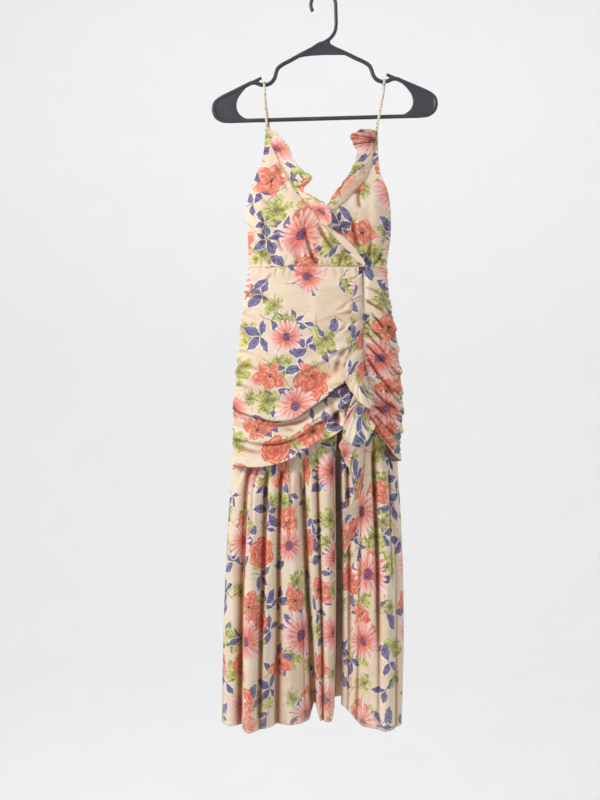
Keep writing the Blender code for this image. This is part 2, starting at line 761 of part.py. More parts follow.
def plate(outline, thickness):
    """A flat web in the hanger's plane."""
    bm = bmesh.new()
    corners = [bm.verts.new((p.x * MM, -thickness / 2 * MM, p.z * MM)) for p in outline]
    face = bm.faces.new(corners)
    grown = bmesh.ops.extrude_face_region(bm, geom=[face])["geom"]
    moved = [v for v in grown if isinstance(v, bmesh.types.BMVert)]
    bmesh.ops.translate(bm, verts=moved, vec=(0, thickness * MM, 0))
    bmesh.ops.recalc_face_normals(bm, faces=bm.faces)
    mesh = bpy.data.meshes.new("web")
    bm.to_mesh(mesh)
    bm.free()
    return mesh


def cleaned(mesh):
    """Welds the caps that a curve leaves loose, and turns every face out."""
    bm = bmesh.new()
    bm.from_mesh(mesh)
    bmesh.ops.remove_doubles(bm, verts=bm.verts, dist=0.00001)
    bmesh.ops.recalc_face_normals(bm, faces=bm.faces)
    bm.to_mesh(mesh)
    bm.free()
    return mesh


def mirrored(outline):
    return tuple(HangerPoint(-p.x, p.z) for p in reversed(outline))


def hanger():
    """A moulded hanger: a tubular rim with two strap notches, webs at the apex and ends, and a swan-neck hook."""
    right = list(HANGER_HALF_RIM)
    rim = right + [HangerPoint(-p.x, p.z) for p in reversed(right) if p.x]
    arc = [
        HangerPoint(HOOK_RADIUS * math.cos(a), HOOK_TUBE - HOOK_RADIUS + HOOK_RADIUS * math.sin(a))
        for a in np.radians(range(0, 211, 15))
    ]
    shapes = [
        tube("hook", list(HOOK_FOOT) + arc, HOOK_TUBE, False),
        tube("tip", list(NOTCH_TIP), HANGER_TUBE * 0.8, False),
        tube("tip", list(mirrored(NOTCH_TIP)), HANGER_TUBE * 0.8, False),
        plate(END_WEB, WEB),
        plate(mirrored(END_WEB), WEB),
        plate(TOP_WEB, WEB),
    ]
    body = bpy.data.objects.new("hanger", cleaned(tube("rim", rim, HANGER_TUBE, True)))
    bpy.context.scene.collection.objects.link(body)
    for shape in shapes:
        joined = bpy.data.objects.new("joined", cleaned(shape))
        bpy.context.scene.collection.objects.link(joined)
        union = body.modifiers.new("union", "BOOLEAN")
        union.operation = "UNION"
        union.solver = "EXACT"
        union.object = joined
        whole = bpy.data.meshes.new_from_object(body.evaluated_get(bpy.context.evaluated_depsgraph_get()))
        body.modifiers.clear()
        body.data = whole
        bpy.data.objects.remove(joined)
    body.data.transform(Matrix.Rotation(-HANGER_TILT, 4, "Y"))
    body.data.name = "hanger"
    body.data.materials.clear()
    body.data.materials.append(material(*PLASTIC))
    return body


def notch(side):
    """Where a strap hangs in the tilted hanger."""
    bottom = next(p for p in HANGER_HALF_RIM if p.x == 113)
    x = side * bottom.x
    return (
        x * math.cos(HANGER_TILT) - bottom.z * math.sin(HANGER_TILT),
        x * math.sin(HANGER_TILT) + bottom.z * math.cos(HANGER_TILT),
    )


def main():
    for old in list(bpy.data.objects):
        bpy.data.objects.remove(old)
    hanger()
    front_left = bodice_front("bodice_front_left", FRONT_LEFT_EDGES, -1, 5, 16, 20)
    front_right = bodice_front("bodice_front_right", FRONT_RIGHT_EDGES, 1, 0, 15, 16)
    bodice_back(7, 26)
    hips = [hip_left(), hip_right()]
    hip_back()
    skirt_panel("skirt_front_left", FRONT, SKIRT_LEFT_PLEATS, 3, 10, (0,))
    skirt = skirt_panel("skirt_front_right", FRONT, SKIRT_RIGHT_PLEATS, 3, 10, (-1,))
    skirt_panel("skirt_back", BACK, SKIRT_BACK_PLEATS, 3, 9, (0, -1))
    flounce_strip("neck_ruffle_left", NECK_LEFT, [front_left, front_right], 3, 3, 0.4)
    flounce_strip("neck_ruffle_right", NECK_RIGHT, [front_right], 3, 3, -0.4)
    for name, stations in (("upper", CASCADE_UPPER), ("middle", CASCADE_MIDDLE), ("lower", CASCADE_LOWER)):
        flounce_strip("cascade_" + name, stations, hips + [skirt], 3, 5, -0.4)
    left_x, left_z = notch(-1)
    right_x, right_z = notch(1)
    strap("strap_left", -105.5, -256, left_x, left_z, -84)
    strap("strap_right", 99.5, -259, right_x, right_z, 78)


main()
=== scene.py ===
import math

import bmesh
import bpy
import numpy as np
from mathutils import Matrix, Vector
from mathutils.bvhtree import BVHTree


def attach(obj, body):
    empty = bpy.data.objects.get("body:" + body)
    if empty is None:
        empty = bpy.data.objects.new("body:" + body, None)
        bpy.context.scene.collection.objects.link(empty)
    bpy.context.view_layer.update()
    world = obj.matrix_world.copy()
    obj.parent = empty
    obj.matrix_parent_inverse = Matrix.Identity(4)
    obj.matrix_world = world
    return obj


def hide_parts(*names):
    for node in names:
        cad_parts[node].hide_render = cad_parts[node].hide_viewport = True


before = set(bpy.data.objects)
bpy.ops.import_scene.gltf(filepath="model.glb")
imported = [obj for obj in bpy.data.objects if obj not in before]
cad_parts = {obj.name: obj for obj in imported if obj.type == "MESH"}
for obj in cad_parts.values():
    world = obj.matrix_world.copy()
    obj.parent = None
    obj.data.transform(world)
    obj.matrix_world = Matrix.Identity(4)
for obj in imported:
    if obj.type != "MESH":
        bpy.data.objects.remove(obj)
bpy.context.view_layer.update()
mm = 0.001
front, back = -1, 1
print("frame loaded")

body = {  # the hollow dress from the hem up: side seams, and how far front and back stand off the hanger
    "z": (-1380, -1200, -1050, -950, -885, -770, -700, -630, -565, -519, -460, -405, -330, -250),
    "left": (-191, -188, -182, -176, -170, -166, -161, -155, -147, -141, -142, -145, -145, -140),
    "right": (148, 152, 150, 145, 141, 145, 141, 132, 122, 120, 127, 128, 128, 124),
    "front": (30, 34, 38, 41, 42, 45, 44, 40, 34, 29, 32, 26, 18, 8),
    "back": (60, 54, 48, 44, 42, 40, 38, 35, 30, 25, 26, 22, 16, 8),
    "roundness": 2.4,  # exponent of the flattened oval
    "waist": -519,
    "hem": -1372,
    "underarm": -405,
    "hipDrop": 340,  # from the waist seam to the skirt's seam
    "backDip": 6,  # of the back's top edge
    "noHem": 60,  # added to the way from an edge where it has no hem
    "seamGap": 0.1,
    "wall": 0.8,
}
bodiceEnd, hipTop = body["waist"] + body["seamGap"] / 2, body["waist"] - body["seamGap"] / 2
pastLeft, pastRight = -1000, 1000  # an edge out there is cut off at the side seam


# shapes shared by the pieces


def linked(name, data):  # a new object in the scene
    piece = bpy.data.objects.new(name, data)
    bpy.context.scene.collection.objects.link(piece)
    return piece


def smooth(knots, values, at):  # a cubic through the knots, held level past both ends
    knots = np.asarray(knots, float)
    values = np.asarray(values, float)
    slope = np.gradient(values, knots)
    at = np.clip(np.asarray(at, float), knots[0], knots[-1])
    i = np.clip(np.searchsorted(knots, at, side="right") - 1, 0, len(knots) - 2)
    step = knots[i + 1] - knots[i]
    t = (at - knots[i]) / step
    return (
        (2 * t**3 - 3 * t**2 + 1) * values[i]
        + (t**3 - 2 * t**2 + t) * step * slope[i]
        + (3 * t**2 - 2 * t**3) * values[i + 1]
        + (t**3 - t**2) * step * slope[i + 1]
    )


def ramp(t):  # 0 to 1 with level ends
    t = np.clip(t, 0, 1)
    return t * t * (3 - 2 * t)


def bodyAt(z):
    return [smooth(body["z"], body[side], z) for side in ("left", "right", "front", "back")]


def angleAt(x, z):  # place round the oval: pi at the left seam, 0 at the right
    left, right, _, _ = bodyAt(z)
    t = np.clip((x - (left + right) / 2) / ((right - left) / 2), -1, 1)
    return np.arccos(np.sign(t) * np.abs(t) ** (body["roundness"] / 2))


def onBody(angle, z, out, side):  # points on the dress, moved out of the oval
    left, right, frontDepth, backDepth = bodyAt(z)
    half = (right - left) / 2
    depth = frontDepth if side == front else backDepth
    roundness = body["roundness"]
    cos, sin = np.cos(angle), np.clip(np.sin(angle), 0, 1)
    t = np.sign(cos) * np.abs(cos) ** (2 / roundness)
    u = sin ** (2 / roundness)
    across = np.sign(t) * np.abs(t) ** (roundness - 1) / half
    outward = u ** (roundness - 1) / depth
    length = np.hypot(across, outward)
    x = (left + right) / 2 + half * t + out * across / length
    y = side * (depth * u + out * outward / length)
    return np.stack(np.broadcast_arrays(x, y, z), -1)


def seamAngle(z, side):  # half the seam's gap, as an angle
    _, _, frontDepth, backDepth = bodyAt(z)
    depth = frontDepth if side == front else backDepth
    return np.arcsin((body["seamGap"] / 2 / depth) ** (body["roundness"] / 2))


def seamPucker(z):  # the ruching's small waves down both side seams of the hips
    inside = ramp((body["waist"] - 12 - z) / 25) * ramp((z + 872) / 20)
    return inside * (1.6 * np.sin(z / 4.1) + 0.9 * np.sin(z / 6.7 + 1))


def puckered(out, z, share):  # the seam's small waves take over from the folds towards it
    keep = ramp(share)
    return out * keep + seamPucker(z) * (1 - keep)


def edgeLine(table, at):  # a line of (place, value) pairs, or one value everywhere
    if np.isscalar(table):
        return table + 0 * at
    knots = np.array(table, float)
    return smooth(knots[:, 0], knots[:, 1], at)


def gridNormals(points):
    normal = np.cross(np.gradient(points, axis=1), np.gradient(points, axis=0))
    return normal / np.maximum(np.linalg.norm(normal, axis=-1, keepdims=True), 1e-9)


def runLength(points, axis):  # millimetres walked along the rows or the columns of a grid
    step = np.linalg.norm(np.diff(points, axis=axis), axis=-1)
    start = np.zeros_like(step[:1] if axis == 0 else step[:, :1])
    return np.concatenate([start, np.cumsum(step, axis=axis)], axis=axis)


def clothShell(name, points, fabric, edgesAndShade, outward, looks, wall=None, seamColumns=(), seamRows=()):
    # A thin closed shell. fabric is each point's place on the cut cloth, the second map its way from finished edge and
    # seam, and how much painted shade lies in its fold.
    wall = wall or body["wall"]
    normal = gridNormals(points) * outward
    for index in seamColumns:
        normal[:, index, 1] = 0
    for index in seamRows:
        normal[index, :, 2] = 0
    normal /= np.maximum(np.linalg.norm(normal, axis=-1, keepdims=True), 1e-9)
    inner = points - normal * wall
    rows, columns = points.shape[:2]
    count = rows * columns
    at = np.arange(count).reshape(rows, columns)
    quad = np.stack([at[:-1, :-1], at[:-1, 1:], at[1:, 1:], at[1:, :-1]], -1).reshape(-1, 4)
    rim = np.concatenate([at[0, :-1], at[:-1, -1], at[-1, :0:-1], at[:0:-1, 0]])
    after = np.roll(rim, -1)
    band = np.stack([rim, rim + count, after + count, after], -1)
    if outward > 0:
        faces = np.concatenate([quad, quad[:, ::-1] + count, band])
    else:
        faces = np.concatenate([quad[:, ::-1], quad + count, band[:, ::-1]])
    mesh = bpy.data.meshes.new(name)
    corners = np.concatenate([points.reshape(-1, 3), inner.reshape(-1, 3)]) * mm
    mesh.vertices.add(2 * count)
    mesh.vertices.foreach_set("co", corners.ravel())
    mesh.loops.add(faces.size)
    mesh.loops.foreach_set("vertex_index", faces.ravel())
    mesh.polygons.add(len(faces))
    mesh.polygons.foreach_set("loop_start", np.arange(0, faces.size, 4))
    for title, values in (("fabric", fabric), ("edgesAndShade", edgesAndShade)):
        flat = np.stack(np.broadcast_arrays(*values, np.zeros((rows, columns)))[:2], -1).reshape(-1, 2) * mm
        layer = mesh.uv_layers.new(name=title)
        layer.data.foreach_set("uv", np.concatenate([flat, flat])[faces.ravel()].ravel())
    for look in looks:
        mesh.materials.append(look)
    wrongSide = np.zeros(len(faces), int)
    wrongSide[len(quad) : 2 * len(quad)] = len(looks) - 1
    mesh.polygons.foreach_set("material_index", wrongSide)
    mesh.update(calc_edges=True)
    mesh.validate()
    mesh.shade_smooth()
    return linked(name, mesh)


def crease(depth, width, *line, sharp=None, ends=None):
    # A fold along a line of (x, z) points: how deep it is (or high, if negative), how wide on its soft and on its
    # sharp side, and the shares of its length over which its two ends fade.
    return {"depth": depth, "width": width, "sharp": sharp or width, "ends": ends, "line": line}


def pressed(x, z, table, gain=1.0, ends=(0.3, 0.3)):  # the height of these folds. A trough has a soft lip on both sides
    total = np.zeros(np.broadcast(x, z).shape)
    for fold in table:
        knots = np.array(fold["line"], float)
        places = np.linspace(0, len(knots) - 1, (len(knots) - 1) * 4 + 1)
        line = np.stack([smooth(np.arange(len(knots)), knots[:, k], places) for k in range(2)], -1)
        soft, sharp = fold["width"], fold["sharp"]
        reach = 4 * max(soft, sharp)
        low, high = line.min(axis=0) - reach, line.max(axis=0) + reach
        near = (x > low[0]) & (x < high[0]) & (z > low[1]) & (z < high[1])
        px, pz = x[near], z[near]
        best = np.full(px.shape, 1e9)
        side = np.ones(px.shape)
        along = np.zeros(px.shape)
        for k in range(len(line) - 1):
            step = line[k + 1] - line[k]
            t = np.clip(((px - line[k, 0]) * step[0] + (pz - line[k, 1]) * step[1]) / (step @ step), 0, 1)
            dx, dz = px - line[k, 0] - t * step[0], pz - line[k, 1] - t * step[1]
            away = np.hypot(dx, dz)
            closer = away < best
            best = np.where(closer, away, best)
            side = np.where(closer, np.sign(step[0] * dz - step[1] * dx), side)
            along = np.where(closer, (k + t) / (len(line) - 1), along)
        width = np.where(side > 0, soft, sharp)
        height = np.exp(-((best / width) ** 2))
        if fold["depth"] > 0:
            height = 1.5 * (0.42 * np.exp(-((best / width / 2.3) ** 2)) - height)
        for way, fade in zip((along, 1 - along), fold["ends"] or ends):
            if fade:
                height = height * ramp(way / fade)
        total[near] += gain * abs(fold["depth"]) * height
    return total


def gathersFrom(seed, seam, towards, count, lengths, depths, widths, lean):
    # Uneven small folds that start on a seam, given as two points, and run off it in one direction.
    dice = np.random.default_rng(seed)
    (x0, z0), (x1, z1) = seam
    folds = []
    for share in (np.arange(count) + dice.uniform(-0.38, 0.38, count) + 0.5) / count:
        x, z = x0 + (x1 - x0) * share, z0 + (z1 - z0) * share
        length = lengths[0] + (lengths[1] - lengths[0]) * dice.uniform() ** 1.8
        turn = math.radians(dice.uniform(-lean, lean))
        dx = towards[0] * math.cos(turn) - towards[1] * math.sin(turn)
        dz = towards[0] * math.sin(turn) + towards[1] * math.cos(turn)
        bend = dice.uniform(-0.12, 0.12) * length
        middle = (x + dx * length / 2 - dz * bend, z + dz * length / 2 + dx * bend)
        tip = (x + dx * length, z + dz * length)
        folds.append(crease(dice.uniform(*depths), dice.uniform(*widths), (x, z), middle, tip, ends=(0, 0.75)))
    return folds


def softened(values, across, down):  # a grid of heights, blurred over so many columns and rows
    for axis, reach in ((1, across), (0, down)):
        if reach < 1:
            continue
        for _ in range(2):
            pad = [(reach, reach) if k == axis else (0, 0) for k in range(2)]
            total = np.cumsum(np.pad(values, pad, mode="edge"), axis=axis)
            total = np.concatenate([np.zeros_like(total.take([0], axis)), total], axis=axis)
            size, window = values.shape[axis], 2 * reach + 1
            values = (total.take(range(window, size + window), axis) - total.take(range(size), axis)) / window
    return values


def hollows(out, across, down, deep):  # 0 on the ridges to 1 in the bottoms of folds this deep, used as the share of painted shade in the folds
    return np.clip((softened(out, across, down) - out) / deep, 0, 1)


def slowNoise(seed, at, lengths):  # a wandering curve made of a few waves
    dice = np.random.default_rng(seed)
    total = 0
    for length in lengths:
        total = total + np.sin(2 * math.pi * (at / (length * dice.uniform(0.85, 1.15)) + dice.uniform()))
    return total / len(lengths)


# the printed cloth and the hanger's plastic


def paint(red, green, blue):  # a screen colour as the linear one the shaders take
    return tuple(
        (c / 255 / 12.92) if c / 255 <= 0.04045 else ((c / 255 + 0.055) / 1.055) ** 2.4 for c in (red, green, blue)
    ) + (1.0,)


class Wire:  # a node's output. A sum of wires makes the nodes that work it out
    def __init__(self, nodes, socket):
        self.nodes = nodes
        self.socket = socket

    def __add__(self, other):
        return self.nodes.calc("ADD", self, other)

    def __sub__(self, other):
        return self.nodes.calc("SUBTRACT", self, other)

    def __mul__(self, other):
        if self.socket.type != "VALUE" and np.isscalar(other):
            return self.nodes.add("ShaderNodeVectorMath", {0: self, "Scale": other}, operation="SCALE")
        return self.nodes.calc("MULTIPLY", self, other)

    def __truediv__(self, other):
        return self.nodes.calc("DIVIDE", self, other)

    def __mod__(self, other):
        return self.nodes.calc("FLOORED_MODULO", self, other)

    def __pow__(self, other):
        return self.nodes.calc("POWER", self, other)

    def __lt__(self, other):
        return self.nodes.calc("LESS_THAN", self, other)

    def __gt__(self, other):
        return self.nodes.calc("GREATER_THAN", self, other)

    def __abs__(self):
        return self.nodes.calc("ABSOLUTE", self)


class Nodes:  # adds nodes to one tree, and gives their outputs as wires
    def __init__(self, tree):
        self.tree = tree
        self.count = 0

    def fill(self, node, inputs):
        for key, value in inputs.items():
            if isinstance(value, Wire):
                self.tree.links.new(value.socket, node.inputs[key])
            else:
                node.inputs[key].default_value = value

    def add(self, kind, inputs=None, output=0, **settings):
        node = self.tree.nodes.new(kind)
        node.location = (self.count // 12 * 190, -(self.count % 12) * 160)
        self.count += 1
        for key, value in settings.items():
            setattr(node, key, value)
        self.fill(node, inputs or {})
        return Wire(self, node.outputs[output]) if len(node.outputs) else None

    def others(self, wire, *outputs):  # more outputs of the same node
        return [Wire(self, wire.socket.node.outputs[key]) for key in outputs]

    def calc(self, operation, *values, clamp=False):
        if values[0].socket.type == "VALUE":
            return self.add("ShaderNodeMath", dict(enumerate(values)), operation=operation, use_clamp=clamp)
        return self.add("ShaderNodeVectorMath", dict(enumerate(values)), operation=operation)

    def split(self, value, kind="ShaderNodeSeparateXYZ"):
        return self.others(self.add(kind, {0: value}), 0, 1, 2)

    def mix(self, factor, first, second, blend="MIX"):
        return self.add("ShaderNodeMix", {0: factor, 6: first, 7: second}, 2, data_type="RGBA", blend_type=blend)

    def noise(self, place, scale, detail=2.0, roughness=0.5, output=0):
        inputs = {"Vector": place, "Scale": scale, "Detail": detail, "Roughness": roughness}
        return self.add("ShaderNodeTexNoise", inputs, output)

    def voronoi(self, place, scale, loose, feature="F1"):
        inputs = {"Vector": place, "Scale": scale, "Randomness": loose}
        return self.add("ShaderNodeTexVoronoi", inputs, "Distance", voronoi_dimensions="2D", feature=feature)

    def wave(self, place, scale, distortion, detail):
        inputs = {"Vector": place, "Scale": scale, "Distortion": distortion, "Detail": detail}
        return self.add("ShaderNodeTexWave", inputs, 1)

    def band(self, value, start, end, low=0.0, high=1.0):  # low at start to high at end, either way up
        inputs = {"Value": value, "From Min": start, "From Max": end, "To Min": low, "To Max": high}
        return self.add("ShaderNodeMapRange", inputs)

    def steps(self, value, stops):  # a colour ramp, given as (place, colour) pairs
        colour = self.add("ShaderNodeValToRGB", {"Fac": value}, "Color")
        ramped = colour.socket.node.color_ramp
        while len(ramped.elements) < len(stops):
            ramped.elements.new(0.5)
        for element, (place, tone) in zip(ramped.elements, stops):
            element.position = place
            element.color = tone
        return colour

    def bump(self, height, strength, distance):
        return self.add("ShaderNodeBump", {"Height": height, "Strength": strength, "Distance": distance})

    def cut(self, layer):  # millimetres from one of the cloth's own maps
        return self.add("ShaderNodeUVMap", uv_map=layer) * 1000.0


def newMaterial(name):
    made = bpy.data.materials.new(name)
    made.use_nodes = True
    return made, Nodes(made.node_tree), made.node_tree.nodes["Principled BSDF"]


printLook = {
    "ground": paint(238, 221, 198),
    "groundDeep": paint(230, 206, 178),
    "coral": paint(230, 116, 100),
    "deepCoral": paint(204, 82, 76),
    "pink": paint(236, 158, 156),
    "palePink": paint(247, 216, 208),
    "orange": paint(234, 128, 94),
    "orangeDeep": paint(198, 84, 64),
    "orangePale": paint(249, 200, 172),
    "lime": paint(194, 198, 98),
    "limePale": paint(223, 218, 152),
    "olive": paint(138, 138, 66),
    "indigo": paint(116, 108, 156),
    "indigoDeep": paint(80, 72, 118),
    "teal": paint(108, 114, 152),
    "ink": paint(46, 42, 58),
    "white": paint(248, 242, 232),
    # class of motif: spacing of its cells, how loosely it sits in them, its radius, share of cells that have it, shift
    "leavesUnder": {"cell": 68, "loose": 0.75, "radius": 38, "share": 0.9, "shift": (13, 41, 0)},
    "greens": {"cell": 72, "loose": 0.7, "radius": 36, "share": 0.95, "shift": (131, 7, 0)},
    "leavesOver": {"cell": 86, "loose": 0.7, "radius": 39, "share": 0.85, "shift": (57, 203, 0)},
    "roses": {"cell": 158, "loose": 0.6, "radius": 30, "share": 0.75, "shift": (301, 95, 0)},
    "lilies": {"cell": 120, "loose": 0.55, "radius": 43, "share": 0.85, "shift": (17, 331, 0)},
    "dahlias": {"cell": 138, "loose": 0.42, "radius": 49, "share": 0.95, "shift": (223, 149, 0)},
}


def scatter(n, place, motif):
    # Each cell's middle is one motif. Gives the way from it and the turn round it, and three dice of that cell.
    cells = (place + motif["shift"]) * (1 / motif["cell"])
    middle, dice = n.others(n.voronoi(cells, 1.0, motif["loose"]), "Position", "Color")
    right, up, _ = n.split((cells - middle) * motif["cell"])
    dice = n.split(dice, "ShaderNodeSeparateColor")
    reach = n.calc("SQRT", right * right + up * up)
    turn = n.calc("ARCTAN2", up, right) + dice[0] * (2 * math.pi)
    return reach, turn, dice, dice[1] < motif["share"]


def sectors(n, turn, count, salt):
    # Splits the turn into equal petals: way off each petal's own line (-0.5 to 0.5), and its own dice.
    turned = turn * (count / (2 * math.pi))
    both = n.add("ShaderNodeCombineXYZ", {"X": n.calc("FLOOR", turned) % count, "Y": salt})
    dice = n.add("ShaderNodeTexWhiteNoise", {"Vector": both}, "Value", noise_dimensions="2D")
    return n.calc("FRACT", turned) - 0.5, dice


def petalForm(n, reach, off, count, length, width, belly):
    # Way inside the outline of a pointed petal or leaf, in mm, how far along it a point lies (0 to 1), and how far off.
    angle = off * (2 * math.pi / count)
    along = n.calc("DIVIDE", reach * n.calc("COSINE", angle), length, clamp=True)
    across = abs(reach * n.calc("SINE", angle))
    return n.calc("SINE", along**belly * math.pi) * width - across, along, across


def addStamens(n, colour, reach, turn, present, count, length, salt, look):  # fine ink lines out of a flower's heart
    off, dice = sectors(n, turn, count, salt)
    thin = n.band(abs(off) * (reach * (2 * math.pi / count)), 0.55, 0.2)
    shown = (reach < (dice * 0.7 + 0.3) * length) * (dice > 0.25)
    return n.mix(thin * shown * (present * 0.8), colour, look["ink"])


def addDahlias(n, colour, place, wobble, look):
    motif = look["dahlias"]
    reach, turn, dice, present = scatter(n, place, motif)
    turn = turn + wobble * 0.12
    share = reach / (n.band(dice[2], -2.0, 1.0) * motif["radius"] + wobble * 5.0)
    outer = {"petals": 23, "far": 1.0, "lined": 0.65, "tones": ("pink", "palePink", "coral")}
    inner = {"petals": 15, "far": 0.66, "lined": 0.9, "tones": ("orange", "pink", "deepCoral")}
    for k, ring in enumerate((outer, inner)):
        far = ring["far"]
        third, last, edge = (look[tone] for tone in ring["tones"])
        off, petalDice = sectors(n, turn + 0.4 * k, ring["petals"], dice[2] * 91.0 + 7.0 * k)
        beside = abs(off) * 2.0
        tip = petalDice * 0.32 + far * 0.76 - beside**2.5 * (0.3 * far)
        tint = n.steps(share / far, [(0.14, look["deepCoral"]), (0.36, look["coral"]), (0.66, third), (1.0, last)])
        tint = n.mix(petalDice**1.8 * 0.6, tint, look["palePink"])
        tint = n.mix(n.band(beside, 0.66, 0.95) * ring["lined"], tint, edge)
        streak = n.band(beside, 0.3, 0.08) * n.band(share, 0.35, 0.75) * 0.6
        tint = n.mix(streak, tint, look["white"])
        colour = n.mix(n.band(tip - share, 0.0, 0.02) * present, colour, tint)
    middle = n.band(petalDice * 0.12 + 0.17 - share, 0.0, 0.03) * present
    dark = n.band(n.voronoi(place, 0.36, 0.9), 0.62, 0.46)
    colour = addStamens(n, colour, reach, turn, present, 23, 17.0, 3.0, look)
    return n.mix(middle, colour, n.mix(dark, look["deepCoral"], look["indigoDeep"]))


def addLilies(n, colour, place, wobble, look):
    motif = look["lilies"]
    reach, turn, dice, present = scatter(n, place, motif)
    off, petalDice = sectors(n, turn + reach * (dice[2] - 0.5) * 0.03, 5, dice[2] * 77.0)
    length = n.band(petalDice, -0.9, 1.0) * motif["radius"]
    width = n.band(petalDice, -0.9, 0.7) * (motif["radius"] * 0.31)
    inside, along, across = petalForm(n, reach, off, 5, length, width, 0.85)
    inside = inside + wobble * 3.2
    tint = n.steps(
        along, [(0.05, look["orangeDeep"]), (0.3, look["orange"]), (0.7, look["coral"]), (1.0, look["orangePale"])])
    gleam = n.band(n.noise(place, 0.13), 0.48, 0.6) * n.band(inside, 1.5, 3.5)
    tint = n.mix(gleam * 0.75, tint, look["orangePale"])
    stripes = n.calc("PINGPONG", across + wobble * 2.5, 1.5)
    tint = n.mix(n.band(stripes, 0.5, 0.1) * n.band(along, 0.9, 0.3), tint, look["orangeDeep"])
    tint = n.mix(n.band(inside, 1.1, 0.3) * 0.8, tint, look["orangeDeep"])
    inked = n.band(inside, 0.75, 0.35) * n.band(n.noise(place, 0.07, 1.0), 0.47, 0.55)
    tint = n.mix(inked * 0.85, tint, look["ink"])
    colour = n.mix(n.band(inside, 0.0, 0.4) * present, colour, tint)
    colour = addStamens(n, colour, reach, turn, present, 13, 21.0, 5.0, look)
    heart = n.band(reach + wobble * 5.0, 3.4, 1.8) * present
    return n.mix(heart * 0.8, colour, look["ink"])


def addRoses(n, colour, place, wobble, look):
    motif = look["roses"]
    reach, turn, _, present = scatter(n, place, motif)
    lobes = abs(n.calc("SINE", turn * 3.0)) * 0.16
    share = reach / motif["radius"] / (lobes + 0.8 + wobble * 0.5)
    rings = share * 3.4 + wobble * 1.5
    ring = n.calc("FLOOR", rings)
    off, petalDice = sectors(n, turn + ring * 1.9, 5, ring * 13.0)
    beside = abs(off) * 2.0
    curled = n.calc("FRACT", rings) - beside**3.0 * 0.5
    tint = n.steps(
        curled, [(0.0, look["orangeDeep"]), (0.22, look["coral"]), (0.6, look["orange"]), (0.92, look["orangePale"])])
    tint = n.mix(petalDice * 0.5, tint, look["orange"])
    tint = n.mix(n.band(beside, 0.84, 0.97) * 0.6, tint, look["orangeDeep"])
    tint = n.mix(n.band(share, 0.34, 0.12) * 0.8, tint, look["deepCoral"])
    blot = n.band(n.noise(place, 0.2), 0.6, 0.68) * n.band(share, 0.5, 0.2)
    tint = n.mix(blot, tint, look["indigoDeep"])
    tint = n.mix(n.band(share, 0.93, 0.98) * 0.6, tint, look["orangeDeep"])
    return n.mix(n.band(share, 1.0, 0.97) * present, colour, tint)


def addGreens(n, colour, place, wobble, look):
    motif = look["greens"]
    reach, turn, dice, present = scatter(n, place, motif)
    off, petalDice = sectors(n, turn, 6, dice[2] * 55.0)
    limit = petalDice * 0.42 + 0.66 - (abs(off) * 2.0) ** 2.4 * 0.4 + wobble * 0.4
    inside = limit * (n.band(dice[2], -0.9, 1.0) * motif["radius"]) - reach
    wash = n.noise(place, 0.11, 3.0)
    tint = n.steps(wash, [(0.34, look["olive"]), (0.47, look["lime"]), (0.62, look["limePale"]), (0.72, look["lime"])])
    lines = n.voronoi(place, 0.125, 1.0, "DISTANCE_TO_EDGE")
    sketch = n.band(lines, 0.075, 0.035) * n.band(n.noise(place, 0.12, 1.0), 0.48, 0.58)
    tint = n.mix(sketch * 0.75, tint, look["ink"])
    tint = n.mix(n.band(reach, 12.0, 3.0) * 0.55, tint, look["olive"])
    colour = n.mix(n.band(inside, 0.0, 1.2) * present * 0.95, colour, tint)
    return addStamens(n, colour, reach, turn, present, 17, 24.0, 9.0, look)


def addLeaves(n, colour, place, wobble, look, title):
    motif = look[title]
    reach, turn, dice, present = scatter(n, place, motif)
    off, leafDice = sectors(n, turn + reach * (dice[2] - 0.5) * 0.045, 5, dice[2] * 63.0)
    length = n.band(leafDice, -0.7, 0.6) * motif["radius"]
    width = n.band(leafDice, -0.5, 0.6) * (motif["radius"] * 0.25)
    inside, along, across = petalForm(n, reach, off, 5, length, width, 1.15)
    inside = inside + wobble * 3.4
    here = present * (leafDice < 0.6) * (along > 0.12)
    halo = n.band(inside, -1.7, -1.2) * n.band(along, 0.99, 0.95) * here
    colour = n.mix(halo * 0.75, colour, look["white"])
    tint = n.mix(dice[0] > 0.78, look["indigo"], look["teal"])
    tint = n.mix(n.band(n.noise(place, 0.14, 3.0), 0.46, 0.66) * 0.75, tint, look["indigoDeep"])
    veins = n.calc("PINGPONG", along * 30.0 - across * 1.4, 2.4)
    veins = n.band(veins, 0.5, 0.2) * n.band(n.noise(place, 0.1, 1.0), 0.44, 0.55)
    tint = n.mix(veins * 0.5, tint, look["white"])
    tint = n.mix(n.band(across, 0.5, 0.2) * 0.7, tint, look["ink"])
    colour = n.mix(n.band(inside, -0.3, 0.3) * here, colour, tint)
    stem = n.band(across + wobble * 1.5, 0.75, 0.35) * present * (leafDice < 0.8)
    stem = stem * n.band(reach, motif["radius"] * 0.6, motif["radius"] * 0.55)
    return n.mix(stem * 0.85, colour, look["ink"])


